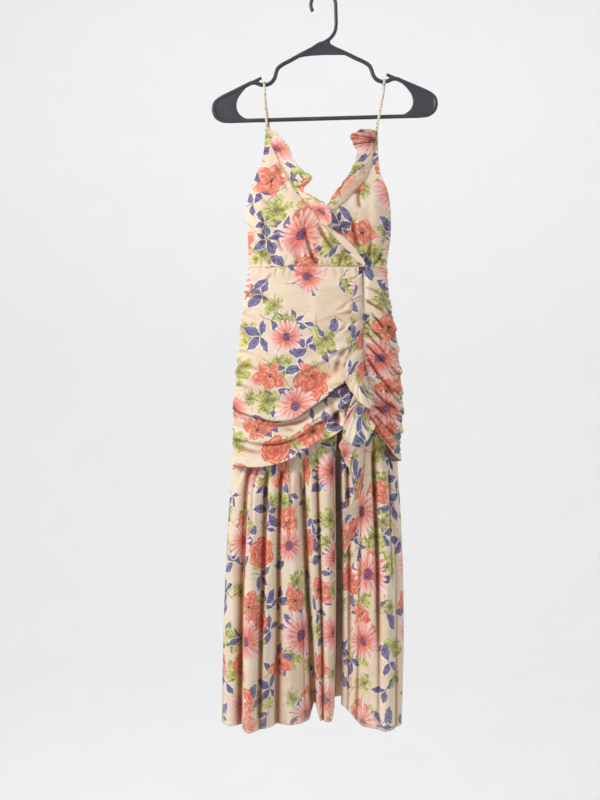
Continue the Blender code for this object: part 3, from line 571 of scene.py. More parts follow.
def makePrint(look):  # the flower print, in millimetres on the cut cloth
    group = bpy.data.node_groups.new("summerPrint", "ShaderNodeTree")
    group.interface.new_socket("Place", in_out="INPUT", socket_type="NodeSocketVector")
    group.interface.new_socket("Colour", in_out="OUTPUT", socket_type="NodeSocketColor")
    n = Nodes(group)
    given = n.add("NodeGroupInput")
    sway = (n.noise(given, 0.022, output=1) - (0.5, 0.5, 0.5)) * 16.0
    shake = (n.noise(given, 0.11, output=1) - (0.5, 0.5, 0.5)) * 5.0
    flat = (given + sway + shake) * (1, 1, 0)
    wobble = n.noise(flat, 0.17, 3.0) - 0.5
    colour = n.mix(n.band(n.noise(flat, 0.012), 0.35, 0.65), look["ground"], look["groundDeep"])
    colour = addLeaves(n, colour, flat, wobble, look, "leavesUnder")
    colour = addGreens(n, colour, flat, wobble, look)
    colour = addLeaves(n, colour, flat, wobble, look, "leavesOver")
    for addMotifs in (addRoses, addLilies, addDahlias):
        colour = addMotifs(n, colour, flat, wobble, look)
    n.add("NodeGroupOutput", {"Colour": colour})
    return group


chiffonLook = {
    "roughness": 0.72,
    "sheen": 0.25,
    "lining": paint(226, 190, 164),  # the plain cloth that shows on the wrong side
    "liningShare": 0.72,
    "liningEnds": 62,  # above the hem
    "hem": (5.0, 4.3, 5.0),  # from the edge: where its turning begins and is full, and its row of stitches
    "rolledEdge": (2.4, 1.6, 2.2),
    "hemTone": paint(240, 224, 202),
    "shadeTone": paint(150, 96, 64),
    "crepe": 0.55,  # pebbles to the millimetre
    "paintedFoldShade": (0.50, 0.29, 0.17, 1),  # painted shade multiplied into the bottom of a fold, brown like light that has passed through the cloth
    "threads": (1.0, 0.98, 0.94, 1),
}


def makeChiffon(name, shift, crinkle, hemmed, wrongSide):
    look = chiffonLook
    made, n, shader = newMaterial(name)
    place = n.cut("fabric") + shift
    colour = n.add("ShaderNodeGroup", {0: place}, node_tree=summerPrint)
    fromEdge, deep, _ = n.split(n.cut("edgesAndShade"))
    if hemmed:
        sheer = n.band(fromEdge, look["liningEnds"], look["liningEnds"] - 9) * 0.13
        colour = n.mix(sheer, colour, look["hemTone"])
    begins, full, stitched = look["hem" if hemmed else "rolledEdge"]
    turning = n.band(fromEdge, begins, full) * 0.35
    colour = n.mix(turning, colour, look["hemTone"])
    if wrongSide:
        colour = n.mix(look["liningShare"], colour, look["lining"])
    wear = n.band(n.noise(place, 0.03, 4.0, 0.6), 0.5, 0.75)
    colour = n.mix(wear * 0.1, colour, look["shadeTone"])
    thread = n.band(n.noise(place * (1.0, 0.12, 0.0), 1.1), 0.45, 0.8)
    colour = n.mix(thread * 0.12, colour, look["threads"])
    # painted shade: the share of fold depth from the second map darkens the colour with brown
    colour = n.mix(deep, colour, look["paintedFoldShade"], "MULTIPLY")
    pebble = n.noise(place, look["crepe"], 4.0, 0.65)
    pleats = n.noise(place * (1.0, 0.07, 0.0), 0.16, 3.0, 0.6)
    stitch = n.band(n.calc("PINGPONG", n.split(place)[0], 1.3), 0.3, 0.6)
    row = n.band(abs(fromEdge - stitched), 0.6, 0.3) * stitch
    height = pebble * 0.12 + pleats * crinkle + n.wave(place, 1.6, 0.6, 1.0) * 0.04 - row * 0.25 + turning
    n.fill(shader, {
        "Base Color": colour, "Normal": n.bump(height, 0.55, 0.0012), "Roughness": look["roughness"],
        "Sheen Weight": look["sheen"], "Sheen Roughness": 0.5, "Specular IOR Level": 0.25})
    return made


def chiffonPair(title, shift, crinkle, hemmed=False):  # the cloth's face and its wrong side
    return [makeChiffon(title + side, shift, crinkle, hemmed, side == "Wrong") for side in ("Face", "Wrong")]


strapLook = {
    "flecks": ((0.40, paint(236, 224, 204)), (0.56, paint(226, 210, 186)), (0.60, paint(88, 82, 96)),
               (0.68, paint(60, 56, 74))),
    "roughness": 0.7,
    "sheen": 0.2,
}
plasticLook = {"tone": paint(56, 58, 66), "dusty": paint(70, 72, 80), "smoothest": 0.34, "roughest": 0.52}


def makeStrapCloth():
    look = strapLook
    made, n, shader = newMaterial("strapCloth")
    place = n.cut("fabric")
    colour = n.steps(n.noise(place, 0.22, 3.0, 0.6), look["flecks"])
    height = n.wave(place, 0.5, 2.0, 2.0) * 0.3 + n.noise(place, 0.9, 3.0) * 0.4
    normal = n.bump(height, 0.5, 0.0008)
    n.fill(shader, {
        "Base Color": colour, "Normal": normal, "Roughness": look["roughness"], "Sheen Weight": look["sheen"]})
    return made


def makePlastic():
    look = plasticLook
    made, n, shader = newMaterial("charcoalPlastic")
    place = n.add("ShaderNodeTexCoord", output="Object")
    dust = n.noise(place, 35.0, 5.0, 0.7)
    colour = n.mix(n.band(dust, 0.5, 0.75), look["tone"], look["dusty"])
    normal = n.bump(n.noise(place, 900.0, 4.0, 0.6), 0.12, 0.0004)
    rough = n.band(dust, 0.3, 0.8, look["smoothest"], look["roughest"])
    n.fill(shader, {"Base Color": colour, "Normal": normal, "Roughness": rough, "Specular IOR Level": 0.5})
    return made


summerPrint = makePrint(printLook)
plastic = makePlastic()
strapCloth = makeStrapCloth()
print("materials made")


# the bodice

bodiceLeft = {
    "z": (-519, -482, -439, -408, -376, -345, -317, -287, -256),
    "armhole": (-141, -141, -143, -145, -137, -126, -115, -110, -109),
    "neckline": (68, 35, -3, -27, -51, -69, -82, -95, -102),
    "grid": (120, 120),
    "creases": [
        crease(1.8, 5, (-88, -323), (-79, -351), (-60, -384)),
        crease(2.2, 4, (-114, -418), (-112, -451), (-114, -486)),
        crease(2.0, 4, (-90, -449), (-79, -484), (-69, -494)),
        crease(3.0, 4.5, (-40, -434), (-29, -477), (-21, -501), (-10, -516), ends=(0.4, 0.1)),
        crease(2.6, 5, (-14, -436), (5, -470), (25, -499)),
        crease(-2.0, 12, (-114, -357), (-112, -395), (-119, -423)),
        crease(1.5, 5, (-129, -377), (-114, -390), (-99, -408)),
        crease(-1.4, 9, (-98, -300), (-104, -340), (-108, -372)),
        crease(-2.2, 13, (-60, -400), (-52, -440), (-49, -480)),
    ],
}
bodiceRight = {
    "z": (-519, -482, -439, -408, -374, -337, -317, -290, -259),
    "armhole": (120, 126, 129, 127, 121, 106, 104, 103, 103),
    "neckline": (-40, -25, 0, 22, 58, 83, 90, 94, 96),
    "grid": (110, 90),
    "creases": [
        crease(2.0, 5, (68, -366), (66, -394), (70, -412)),
        crease(2.6, 6, (53, -421), (57, -455), (68, -492)),
        crease(1.8, 5, (88, -447), (88, -484), (79, -510), ends=(0.5, 0.1)),
        crease(2.6, 4, (114, -481), (105, -501), (94, -514), ends=(0.4, 0.1)),
        crease(1.5, 5, (121, -421), (116, -455), (110, -483)),
        crease(-2.0, 11, (92, -370), (96, -410), (99, -450)),
    ],
}


def bodiceGathers(x, z, spacing, rise):
    waist = body["waist"]
    return rise * np.sin(2 * math.pi * x / spacing) * ramp(1 - (z - waist) / 90) * ramp((z - waist) / 6)


def waistGathers(seed, x0, x1, count):
    waist = body["waist"]
    return gathersFrom(seed, ((x0, waist + 1), (x1, waist + 1)), (0, 1), count, (14, 78), (0.7, 2.0), (2.4, 4.6), 14)


def makeBodiceFront(name, cut, sideSign, overlap, gathers, looks):
    rows, columns = cut["grid"]
    z = np.linspace(cut["z"][-1], bodiceEnd, rows)[:, None]
    armhole = angleAt(smooth(cut["z"], cut["armhole"], z), z)
    neckline = angleAt(smooth(cut["z"], cut["neckline"], z), z)
    limit = seamAngle(z, front)
    armhole = np.clip(armhole, limit, math.pi - limit)
    across = np.linspace(0, 1, columns)[None, :]
    start, end = (armhole, neckline) if sideSign < 0 else (neckline, armhole)
    angle = start + (end - start) * across
    fromSide = across if sideSign < 0 else 1 - across
    z = z + 0 * across
    x = onBody(angle, z, 0, front)[..., 0]
    out = overlap * ramp((x + 105) / 50)
    out = out + bodiceGathers(x, z, 44, 1.6 if overlap else 0.8) * ramp(fromSide / 0.15)
    plain = onBody(angle, z, out, front)
    keep = ramp(fromSide / 0.06) * ramp((cut["z"][-1] - z) / 25)
    out = out + pressed(x, z, cut["creases"] + gathers, 1.5) * keep
    meets = ramp((z - body["waist"]) / 9)  # the seam lies level with the top of the hips
    out = out * meets + 2.2 * (1 - meets) * ramp(fromSide / 0.1)
    points = onBody(angle, z, out, front)
    walk = runLength(points, 1)
    # way from the neckline, and painted shade in the bottoms of the folds
    edgesAndShade = (walk if sideSign > 0 else walk[:, -1:] - walk, hollows(out, 6, 2, 2.2))
    seam = (0,) if sideSign < 0 else (columns - 1,)
    fabric = (plain[..., 0], runLength(plain, 0))
    return clothShell(name, points, fabric, edgesAndShade, -1, looks, seamColumns=seam, seamRows=(rows - 1,))


def makeBodiceBack(looks):
    rows, columns = 60, 130
    across = np.linspace(0, 1, columns)[None, :]
    top = body["underarm"] - body["backDip"] * np.sin(math.pi * across)
    z = top + (bodiceEnd - top) * np.linspace(0, 1, rows)[:, None]
    limit = seamAngle(z, back)
    angle = (math.pi - limit) + (2 * limit - math.pi) * across
    x = onBody(angle, z, 0, back)[..., 0]
    fromSide = np.minimum(across, 1 - across)
    out = bodiceGathers(x, z, 44, 1.6) * ramp(fromSide / 0.1)
    folds = waistGathers(31, -128, 108, 15) + [
        crease(1.8, 6, (-96, -425), (-70, -470), (-58, -505)),
        crease(1.8, 6, (70, -422), (50, -462), (38, -508)),
        crease(-1.8, 14, (-20, -430), (-12, -468), (-16, -500)),
    ]
    points = onBody(angle, z, out + pressed(x, z, folds) * ramp(fromSide / 0.05), back)
    edgesAndShade = (runLength(points, 0), 0)
    fabric = (-points[..., 0], runLength(points, 0))
    return clothShell(
        "dressBodiceBack", points, fabric, edgesAndShade, 1, looks, seamColumns=(0, columns - 1), seamRows=(rows - 1,)
    )


# the draped hips

rollFields = ("left", "right", "riseLeft", "riseMiddle", "riseRight", "soft", "sharp")
hipLeft = {
    "freeX": ((-803, 46), (-766, 48), (-720, 42), (-666, 50), (-602, 53), (-565, 60), (-519, 66)),
    "swagZ": ((-167, -781), (-122, -795), (-82, -803), (-51, -797), (-29, -782), (-1, -763), (20, -744), (48, -727)),
    "lowerZ": ((-170, -885), (-122, -889), (-74, -879), (-40, -862), (-18, -844), (4, -837), (24, -826), (48, -803)),
    "swagAt": 0.72,  # the share of the panel down to the swag's edge
    "rolls": (  # place down the panel at both ends, rise at three places, softness above and below
        (0.13, 0.12, 5.0, 1.0, 1.0, 22, 5),
        (0.30, 0.28, 2.0, 0.3, 2.0, 20, 6),
        (0.42, 0.40, 2.0, 0.3, 2.5, 18, 6),
        (0.54, 0.51, 2.5, 1.0, 4.0, 20, 6),
        (0.72, 0.72, 6.0, 9.0, 14.0, 34, 4),
        (0.86, 0.86, 4.0, 5.0, 9.0, 24, 5),
        (1.00, 1.00, 3.0, 7.0, 8.0, 22, 5),
    ),
    "grid": (190, 170),
    "creases": [
        crease(2.2, 4, (-144, -570), (-117, -575), (-98, -582), (-82, -592), ends=(0, 0.6)),
        crease(1.6, 3.5, (-113, -551), (-102, -540), (-91, -529)),
        crease(1.6, 3, (-152, -605), (-135, -610), (-113, -619), ends=(0, 0.7)),
        crease(1.4, 4, (-154, -639), (-131, -645), (-106, -647), ends=(0, 0.7)),
        crease(1.6, 3, (-157, -672), (-139, -678), (-122, -685), ends=(0, 0.7)),
        crease(2.2, 4, (-159, -700), (-137, -704), (-111, -715), (-95, -727), ends=(0, 0.6)),
        crease(1.8, 3.5, (-163, -735), (-142, -742), (-120, -751), ends=(0, 0.7)),
        crease(1.8, 4, (-161, -762), (-139, -773), (-113, -779), ends=(0, 0.7)),
        crease(2.0, 3.5, (-102, -816), (-73, -812), (-43, -805), (-21, -792)),
        crease(2.0, 4, (-157, -852), (-131, -861), (-98, -863), ends=(0, 0.6)),
        crease(1.8, 4, (-163, -830), (-117, -849), (-62, -839), (-25, -812), (12, -799), (39, -775)),
        crease(5.0, 7, (10, -768), (21, -788), (24, -805), (19, -825)),
        crease(2.2, 4, (36, -762), (43, -784), (39, -810)),
        crease(-2.2, 9, (-7, -687), (17, -693), (43, -689), sharp=4),
        crease(2.0, 5, (43, -663), (28, -694), (19, -722)),
        crease(1.8, 4, (47, -623), (32, -638), (12, -649)),
        crease(1.5, 4, (50, -582), (34, -597), (19, -603)),
        crease(2.4, 4.5, (41, -737), (23, -740), (-3, -746)),
        crease(1.8, 4, (-75, -817), (-51, -825), (-32, -836)),
        crease(-1.6, 22, (-60, -560), (-66, -620), (-58, -680)),
        crease(-1.2, 18, (-10, -540), (-14, -600), (-30, -650)),
    ],
}
hipRight = {
    "freeX": 38,
    "lowerZ": ((38, -800), (62, -805), (88, -812), (112, -847), (130, -872), (142, -882)),
    "rolls": (
        (0.20, 0.22, 1.5, 3.0, 3.0, 14, 4),
        (0.29, 0.33, 3.0, 4.0, 4.0, 14, 4),
        (0.38, 0.44, 3.0, 4.0, 4.0, 14, 4),
        (0.47, 0.55, 3.5, 4.5, 4.5, 14, 4),
        (0.57, 0.66, 4.0, 5.0, 4.5, 16, 4),
        (0.68, 0.76, 4.0, 5.5, 4.5, 18, 4),
        (0.80, 0.86, 4.5, 6.0, 4.5, 18, 4),
        (1.00, 1.00, 3.0, 4.0, 3.5, 16, 4),
    ),
    "grid": (190, 90),
    "creases": [
        crease(1.8, 3, (78, -557), (96, -564), (116, -577), ends=(0.1, 0.3)),
        crease(2.6, 3, (78, -582), (96, -592), (116, -605), ends=(0.1, 0.3)),
        crease(2.8, 2.8, (87, -605), (102, -621), (114, -639), ends=(0.1, 0.3)),
        crease(2.8, 2.8, (74, -616), (92, -638), (114, -660), ends=(0.1, 0.3)),
        crease(3.0, 3, (78, -641), (92, -658), (107, -674), (125, -696), ends=(0.1, 0.3)),
        crease(2.2, 2.6, (78, -663), (96, -682), (122, -707), ends=(0.1, 0.3)),
        crease(3.2, 3.2, (74, -678), (85, -696), (96, -713), (114, -737), (135, -757), ends=(0.1, 0.2)),
        crease(2.8, 3, (89, -726), (111, -742), (133, -762), ends=(0.1, 0.2)),
        crease(2.4, 3, (92, -749), (113, -770), (135, -783), ends=(0.1, 0.2)),
        crease(2.8, 3.2, (92, -775), (111, -790), (133, -806), ends=(0.1, 0.2)),
        crease(2.6, 3, (92, -792), (111, -812), (135, -834), ends=(0.1, 0.2)),
        crease(2.6, 3.2, (91, -808), (100, -823), (114, -841), (133, -867), ends=(0.1, 0.2)),
    ],
}
hipBack = {
    "rolls": (
        (0.14, 0.14, 4.0, 1.0, 4.0, 18, 5),
        (0.28, 0.27, 4.0, 1.5, 4.0, 18, 5),
        (0.42, 0.41, 4.5, 2.0, 4.5, 20, 5),
        (0.56, 0.56, 4.5, 2.5, 4.5, 20, 5),
        (0.71, 0.70, 5.0, 3.0, 5.0, 22, 5),
        (0.85, 0.86, 4.5, 3.0, 4.5, 20, 5),
        (1.00, 1.00, 3.0, 2.0, 3.0, 16, 5),
    ),
    "lower": {"from": -170, "to": 141, "dip": 6},
    "sag": {"from": -165, "to": 140, "depth": 22},
    "grid": (150, 130),
    "creases": [
        crease(2.4, 4, (-150, -572), (-116, -590), (-70, -601), ends=(0, 0.6)),
        crease(2.2, 4, (118, -560), (80, -582), (30, -596), ends=(0, 0.6)),
        crease(2.4, 4.5, (-158, -640), (-110, -668), (-50, -684), (-8, -682), ends=(0, 0.6)),
        crease(2.6, 4.5, (138, -668), (96, -700), (44, -714), ends=(0, 0.6)),
        crease(2.2, 4, (-162, -716), (-120, -742), (-64, -758), ends=(0, 0.6)),
        crease(2.8, 5, (142, -742), (92, -776), (26, -790), (-30, -786), ends=(0, 0.6)),
        crease(2.4, 4.5, (-164, -800), (-110, -828), (-52, -838), ends=(0, 0.6)),
        crease(2.0, 4, (140, -830), (100, -850), (52, -858), ends=(0, 0.6)),
        crease(-1.5, 20, (-20, -560), (-8, -610), (-18, -650)),
    ],
}


def rollRise(v, across, rolls):
    total = 0
    for roll in rolls:
        r = dict(zip(rollFields, roll))
        above = (r["left"] + (r["right"] - r["left"]) * across - v) * body["hipDrop"]
        size = smooth((0, 0.5, 1), (r["riseLeft"], r["riseMiddle"], r["riseRight"]), across)
        upward = np.exp(-((above / r["soft"]) ** 2) * 1.6)
        total = total + size * np.where(above >= 0, upward, ramp(1 + above / r["sharp"]))
    return total


def hipRows(rolls, count):  # even rows, crowded where a roll turns under
    v = np.linspace(0, 1, 2000)
    crowd = np.ones_like(v)
    for roll in rolls:
        crowd += 2.2 * np.exp(-(((v - (roll[0] + roll[1]) / 2 - 0.008) / 0.018) ** 2))
    run = np.concatenate([[0], np.cumsum((crowd[1:] + crowd[:-1]) / 2)])
    return np.interp(np.linspace(0, run[-1], count), run, v)


def makeHip(name, side, cut, startX, endX, guides, lift, finish, tucks, looks, seamColumns, gain=1.0):
    rows, columns = cut["grid"]
    across = np.linspace(0, 1, columns)[None, :]
    v = hipRows(cut["rolls"], rows)[:, None] + 0 * across
    z = hipTop - v * body["hipDrop"]
    for _ in range(4):
        limit = seamAngle(z, side)
        first, second = (np.clip(angleAt(edgeLine(edge, z), z), limit, math.pi - limit) for edge in (startX, endX))
        angle = first + (second - first) * across
        x = onBody(angle, z, 0, side)[..., 0]
        z = guides(x, v)
    out = rollRise(v, across, cut["rolls"]) + lift(across, v)
    out = finish(out, across, x, z)
    plain = onBody(angle, z, out, side)
    nearest = np.minimum(across, 1 - across)
    seam = ramp({(0,): across, (-1,): 1 - across}.get(seamColumns, nearest) / 0.03)
    out = out + pressed(x, z, cut["creases"] + tucks, gain) * seam * ramp(v / 0.015)
    crinkle = 0.5 * slowNoise(7, z + 0.35 * x, (9, 14, 23)) * seam * ramp(v / 0.03)
    out = out + crinkle * ramp((0.3 - nearest) / 0.3)
    points = onBody(angle, z, out, side)
    fabric = (plain[..., 0] * -side, runLength(plain, 0))
    lower = runLength(points, 0)
    # way from the lower edge, and painted shade in the bottoms of the folds
    edgesAndShade = (lower[-1:] - lower + body["noHem"], hollows(out, 5, 7, 4.0))
    return clothShell(
        name, points, fabric, edgesAndShade, side, looks,
        seamColumns=[c % columns for c in seamColumns], seamRows=(0,),
    )


def makeHipLeft(looks):
    swagAt = hipLeft["swagAt"]

    def guides(x, v):
        swag, lower = edgeLine(hipLeft["swagZ"], x), edgeLine(hipLeft["lowerZ"], x)
        below = swag + (lower - swag) * (v - swagAt) / (1 - swagAt)
        return np.where(v < swagAt, hipTop + (swag - hipTop) * v / swagAt, below)

    def finish(out, across, x, z):
        return puckered(out, z, across / 0.2)

    tucks = gathersFrom(3, ((-142, -530), (-168, -870)), (1, -0.12), 34, (8, 46), (0.8, 2.0), (2.0, 3.6), 16)
    tucks += gathersFrom(4, ((64, -530), (46, -800)), (-1, -0.35), 24, (7, 40), (0.7, 1.9), (2.0, 3.8), 22)
    tucks += gathersFrom(5, ((-138, -520), (64, -520)), (0, -1), 16, (8, 34), (0.5, 1.2), (2.2, 3.6), 16)
    return makeHip(
        "dressHipFrontLeft", front, hipLeft, pastLeft, hipLeft["freeX"], guides, lambda across, v: 2 + 4 * v,
        finish, tucks, looks, (0,), 1.35,
    )


def makeHipRight(looks):
    def finish(out, across, x, z):  # it comes forward beside the edge of the left panel, which lies over it
        return puckered(out + 9 * ramp((x - edgeLine(hipLeft["freeX"], z) - 4) / 20), z, (1 - across) / 0.16)

    tucks = gathersFrom(8, ((122, -535), (143, -870)), (-0.8, 0.6), 30, (8, 34), (0.8, 2.0), (1.8, 3.0), 12)
    return makeHip(
        "dressHipFrontRight", front, hipRight, hipRight["freeX"], pastRight,
        lambda x, v: hipTop + (edgeLine(hipRight["lowerZ"], x) - hipTop) * v,
        lambda across, v: -6 + 3 * v * ramp((across - 0.3) / 0.3), finish, tucks, looks, (-1,), 1.7,
    )


def shareOf(x, span):
    return np.clip((x - span["from"]) / (span["to"] - span["from"]), 0, 1)


def hipBackLower(x):
    left, right = hipLeft["lowerZ"][0][1], hipRight["lowerZ"][-1][1]
    share = shareOf(x, hipBack["lower"])
    return left + (right - left) * share - hipBack["lower"]["dip"] * np.sin(math.pi * share)


def makeHipBack(looks):
    def guides(x, v):
        hang = np.sin(math.pi * shareOf(x, hipBack["sag"])) * np.sin(math.pi * np.clip(v, 0, 1))
        return hipTop + (hipBackLower(x) - hipTop) * v - hipBack["sag"]["depth"] * hang

    def finish(out, across, x, z):
        return puckered(out, z, np.minimum(across, 1 - across) / 0.16)

    tucks = gathersFrom(13, ((-142, -530), (-168, -870)), (1, -0.4), 28, (10, 60), (0.8, 2.0), (2.2, 4.0), 14)
    tucks += gathersFrom(14, ((122, -530), (143, -870)), (-1, -0.4), 28, (10, 60), (0.8, 2.0), (2.2, 4.0), 14)
    return makeHip(
        "dressHipBack", back, hipBack, pastLeft, pastRight, guides, lambda across, v: 2 + 3 * v,
        finish, tucks, looks, (0, -1),
    )


def hipLower(x, side):
    if side == back:
        return hipBackLower(x)
    return np.where(x < 43, edgeLine(hipLeft["lowerZ"], x), edgeLine(hipRight["lowerZ"], x))


# the gathered skirt

skirtLeft = {  # ridges and troughs: share of the width at the top and at the hem, how far out at the top and at the hem
    "pleats": (
        (0.000, 0.000, 0, 0), (0.040, 0.062, 3, 7), (0.086, 0.108, -8, -8), (0.146, 0.170, 5, 32),
        (0.205, 0.218, -9, 12), (0.252, 0.268, 4, 2), (0.294, 0.305, -9, -20), (0.352, 0.385, 5, -10),
        (0.402, 0.462, -6, -28), (0.425, 0.500, -14, -52), (0.465, 0.540, 2, -30), (0.506, 0.565, -6, -36),
        (0.560, 0.592, 4, -24), (0.604, 0.628, -8, -38), (0.622, 0.634, -22, -56),
    ),
    "grid": (190, 190),
    "small": {"seed": 41, "count": 17, "from": 0.02, "to": 0.62},
    "creases": [
        crease(3.5, 4, (-142, -894), (-146, -1059), (-150, -1205), (-151, -1372)),
        crease(4.0, 4.5, (-104, -894), (-109, -1059), (-115, -1205), (-118, -1372), ends=(0.03, 0.1)),
        crease(3.0, 3.5, (-78, -894), (-84, -1022), (-86, -1132)),
        crease(5.5, 5, (-42, -894), (-36, -1022), (-32, -1114), (-21, -1224), (-13, -1374), ends=(0.03, 0)),
        crease(2.6, 3.5, (-12, -894), (-9, -1022), (-3, -1169), (4, -1365)),
        crease(2.2, 3.5, (-62, -894), (-60, -960), (-64, -1040)),
        crease(1.8, 3.0, (-126, -894), (-130, -960), (-129, -1020)),
    ],
    "lifts": ((0.518, 0.032, 30), (0.636, 0.024, 22)),  # the hem pulled up: where along it, how wide, how far up
}
skirtRight = {
    "pleats": (
        (0.650, 0.672, -24, -48), (0.668, 0.688, -8, -38), (0.694, 0.708, -18, -36), (0.740, 0.752, 2, -20),
        (0.794, 0.812, 5, 6), (0.846, 0.852, -14, 14), (0.898, 0.890, 5, 27), (0.944, 0.946, -6, 12),
        (1.000, 1.000, 0, 0),
    ),
    "grid": (180, 120),
    "small": {"seed": 43, "count": 9, "from": 0.66, "to": 0.985},
    "creases": [
        crease(4.5, 4.5, (92, -858), (96, -986), (99, -1095), (99, -1250)),
        crease(3.0, 3.5, (123, -894), (123, -1022), (126, -1130)),
        crease(2.4, 4, (66, -900), (70, -1010), (68, -1150)),
    ],
    "lifts": ((0.672, 0.11, 24),),  # the free corner of the hem
}
skirtBack = {
    "pleats": (
        (0.000, 0.000, 0, 0), (0.055, 0.060, 4, 10), (0.110, 0.115, -5, -8), (0.170, 0.175, 5, 14),
        (0.230, 0.240, -6, -12), (0.290, 0.295, 4, 8), (0.350, 0.360, -6, -14), (0.420, 0.425, 5, 12),
        (0.480, 0.490, -5, -8), (0.545, 0.550, 5, 14), (0.610, 0.615, -6, -14), (0.670, 0.680, 4, 10),
        (0.735, 0.740, -6, -10), (0.800, 0.805, 5, 12), (0.865, 0.870, -5, -10), (0.930, 0.935, 4, 8),
        (1.000, 1.000, 0, 0),
    ),
    "grid": (150, 190),
    "small": {"seed": 47, "count": 28, "from": 0.02, "to": 0.98},
    "creases": [
        crease(3.5, 4.5, (-120, -894), (-124, -1060), (-128, -1250)),
        crease(3.0, 4, (-64, -894), (-68, -1050), (-66, -1180)),
        crease(4.0, 5, (-14, -894), (-18, -1080), (-14, -1300)),
        crease(3.0, 4, (44, -894), (40, -1040), (46, -1160)),
        crease(3.5, 4.5, (92, -894), (98, -1070), (102, -1290)),
    ],
    "lifts": ((0.57, 0.40, 27),),
}
skirtHang = {
    "tuck": 14,  # how far its top reaches up inside the hips
    "inset": -10,
    "valley": 0.8,  # 0 for even waves, 1 for round ridges and narrow valleys
    "top": -880,
    "width": 315,
    "clothFrom": 850,  # where the print starts down the cloth
}


def pleatLine(stations, values, s):  # round ridges with narrower valleys between
    values = np.asarray(values, float)
    i = np.clip(np.floor(s).astype(int), 0, len(values) - 2)
    t = s - i
    first, second = values[i], values[i + 1]
    share = np.where(second > first, 1 - (1 - t) ** 2, t**2)
    folded = first + (second - first) * share
    return folded * skirtHang["valley"] + smooth(stations, values, s) * (1 - skirtHang["valley"])


def smallFolds(across, below, kind):  # fine gathers under the seam, most of them short
    dice = np.random.default_rng(kind["seed"])
    total = np.zeros(np.broadcast(across, below).shape)
    start, span, count = kind["from"], kind["to"] - kind["from"], kind["count"]
    places = start + span * (np.arange(count) + dice.uniform(0.1, 0.9, count)) / count
    for place in places:
        long = 35 + 420 * dice.uniform() ** 2.4
        depth = dice.uniform(1.0, 3.0) if long < 120 else dice.uniform(0.9, 2.0)
        wide = dice.uniform(3.0, 5.5) + long * 0.006
        drift = dice.uniform(-0.012, 0.012)
        away = (across - place - drift * below / 300) * skirtHang["width"] / wide
        fade = ramp((below + 4) / 10) * (1 - ramp((below - long * 0.25) / (long * 0.75)))
        total += depth * 1.5 * (-np.exp(-(away**2)) + 0.42 * np.exp(-((away / 2.2) ** 2))) * fade
    return total


def makeSkirt(name, side, cut, looks, seamColumns):
    rows, columns = cut["grid"]
    table = np.array(cut["pleats"], float)
    stations = np.arange(len(table))
    s = np.linspace(0, stations[-1], columns)[None, :]
    drop = np.linspace(0, 1, rows)[:, None] ** 1.1
    acrossTop, acrossHem = smooth(stations, table[:, 0], s), smooth(stations, table[:, 1], s)
    outTop, outHem = pleatLine(stations, table[:, 2], s), pleatLine(stations, table[:, 3], s)
    across = acrossTop + (acrossHem - acrossTop) * drop
    z = skirtHang["top"] + (body["hem"] - skirtHang["top"]) * drop + 0 * s
    for _ in range(3):
        left, right, _, _ = bodyAt(z)
        x = left + (right - left) * across
        fromSeam = np.minimum(across, 1 - across)
        top = hipLower(x, side) - 2 * body["seamGap"] + skirtHang["tuck"] * ramp((fromSeam - 0.05) / 0.03)
        z = top + (body["hem"] - top) * drop
    for where, wide, lift in cut["lifts"]:
        z = z + lift * drop**4 * (1 - ramp(np.abs(across - where) / wide))
    limit = seamAngle(z, side)
    angle = np.clip(angleAt(x, z), limit, math.pi - limit)
    belowHip = hipLower(x, side) - z
    opening = ramp(belowHip / 60) * 0.75 + 0.25 * ramp(belowHip / 240)
    tucked = skirtHang["inset"] * (1 - ramp((belowHip / 60 + 0.1) / 0.9)) * ramp(fromSeam / 0.04)
    out = tucked + outTop * opening * (1 - drop) + outHem * drop**1.1
    plain = onBody(angle, z, out, side)
    edgeKeep = ramp(fromSeam / 0.02)
    out = out + smallFolds(across, belowHip, cut["small"]) * edgeKeep
    out = out + pressed(x, z, cut["creases"], 1.35, (0.03, 0.25)) * edgeKeep
    out = out + 1.6 * slowNoise(cut["small"]["seed"] + 5, x, (19, 29, 43)) * ramp((drop - 0.86) / 0.14) * edgeKeep
    wander = slowNoise(cut["small"]["seed"], x + 0.05 * z, (17, 26, 41))
    out = out + 0.9 * wander * ramp(belowHip / 120) * edgeKeep
    points = onBody(angle, z, out, side)
    fabric = (runLength(plain, 1)[-1:] + 0 * z, runLength(plain, 0) - top[:1] - skirtHang["clothFrom"])
    lower = runLength(points, 0)
    # way from the hem, and painted shade in the bottoms of the pleats
    edgesAndShade = (lower[-1:] - lower, np.clip(hollows(out, 9, 0, 7.0) + 0.7 * hollows(out, 3, 0, 2.2), 0, 1))
    return clothShell(name, points, fabric, edgesAndShade, side, looks, seamColumns=seamColumns)


# neck ruffles and the cascade

neckRuffles = {
    "left": (  # stations down the seam: x and z of the sewn edge and of the free edge, and how far the free one rises
        (-103, -263, -93, -258, 2), (-95, -287, -66, -291, 7), (-82, -317, -53, -325, 12), (-69, -345, -33, -348, 15),
        (-60, -361, -20, -359, 15), (-51, -376, -37, -378, 6), (-42, -389, -20, -392, 12), (-27, -406, 4, -409, 16),
        (-12, -424, 15, -437, 16), (-3, -439, 5, -450, 7), (12, -456, 37, -470, 12), (35, -482, 60, -494, 12),
        (52, -501, 73, -513, 9), (62, -511, 79, -528, 6),
    ),
    "right": (
        (98, -260, 90, -257, 2), (97, -267, 66, -263, 10), (96, -276, 49, -278, 17), (95, -284, 57, -294, 8),
        (93, -296, 61, -306, 7), (89, -318, 57, -326, 6), (83, -337, 47, -345, 4), (74, -356, 36, -362, 4),
        (59, -374, 24, -378, 5), (41, -393, 14, -392, 5), (24, -408, 5, -409, 3),
        (10, -424, -5, -430, 2),
    ),
    "wall": 0.7,
    "turned": (5.4, 9.0, 0.9),  # stations between which the right one lies wrong side out, and how far from the seam
    "bunched": 4.0,  # stations at its top that are crowded
}
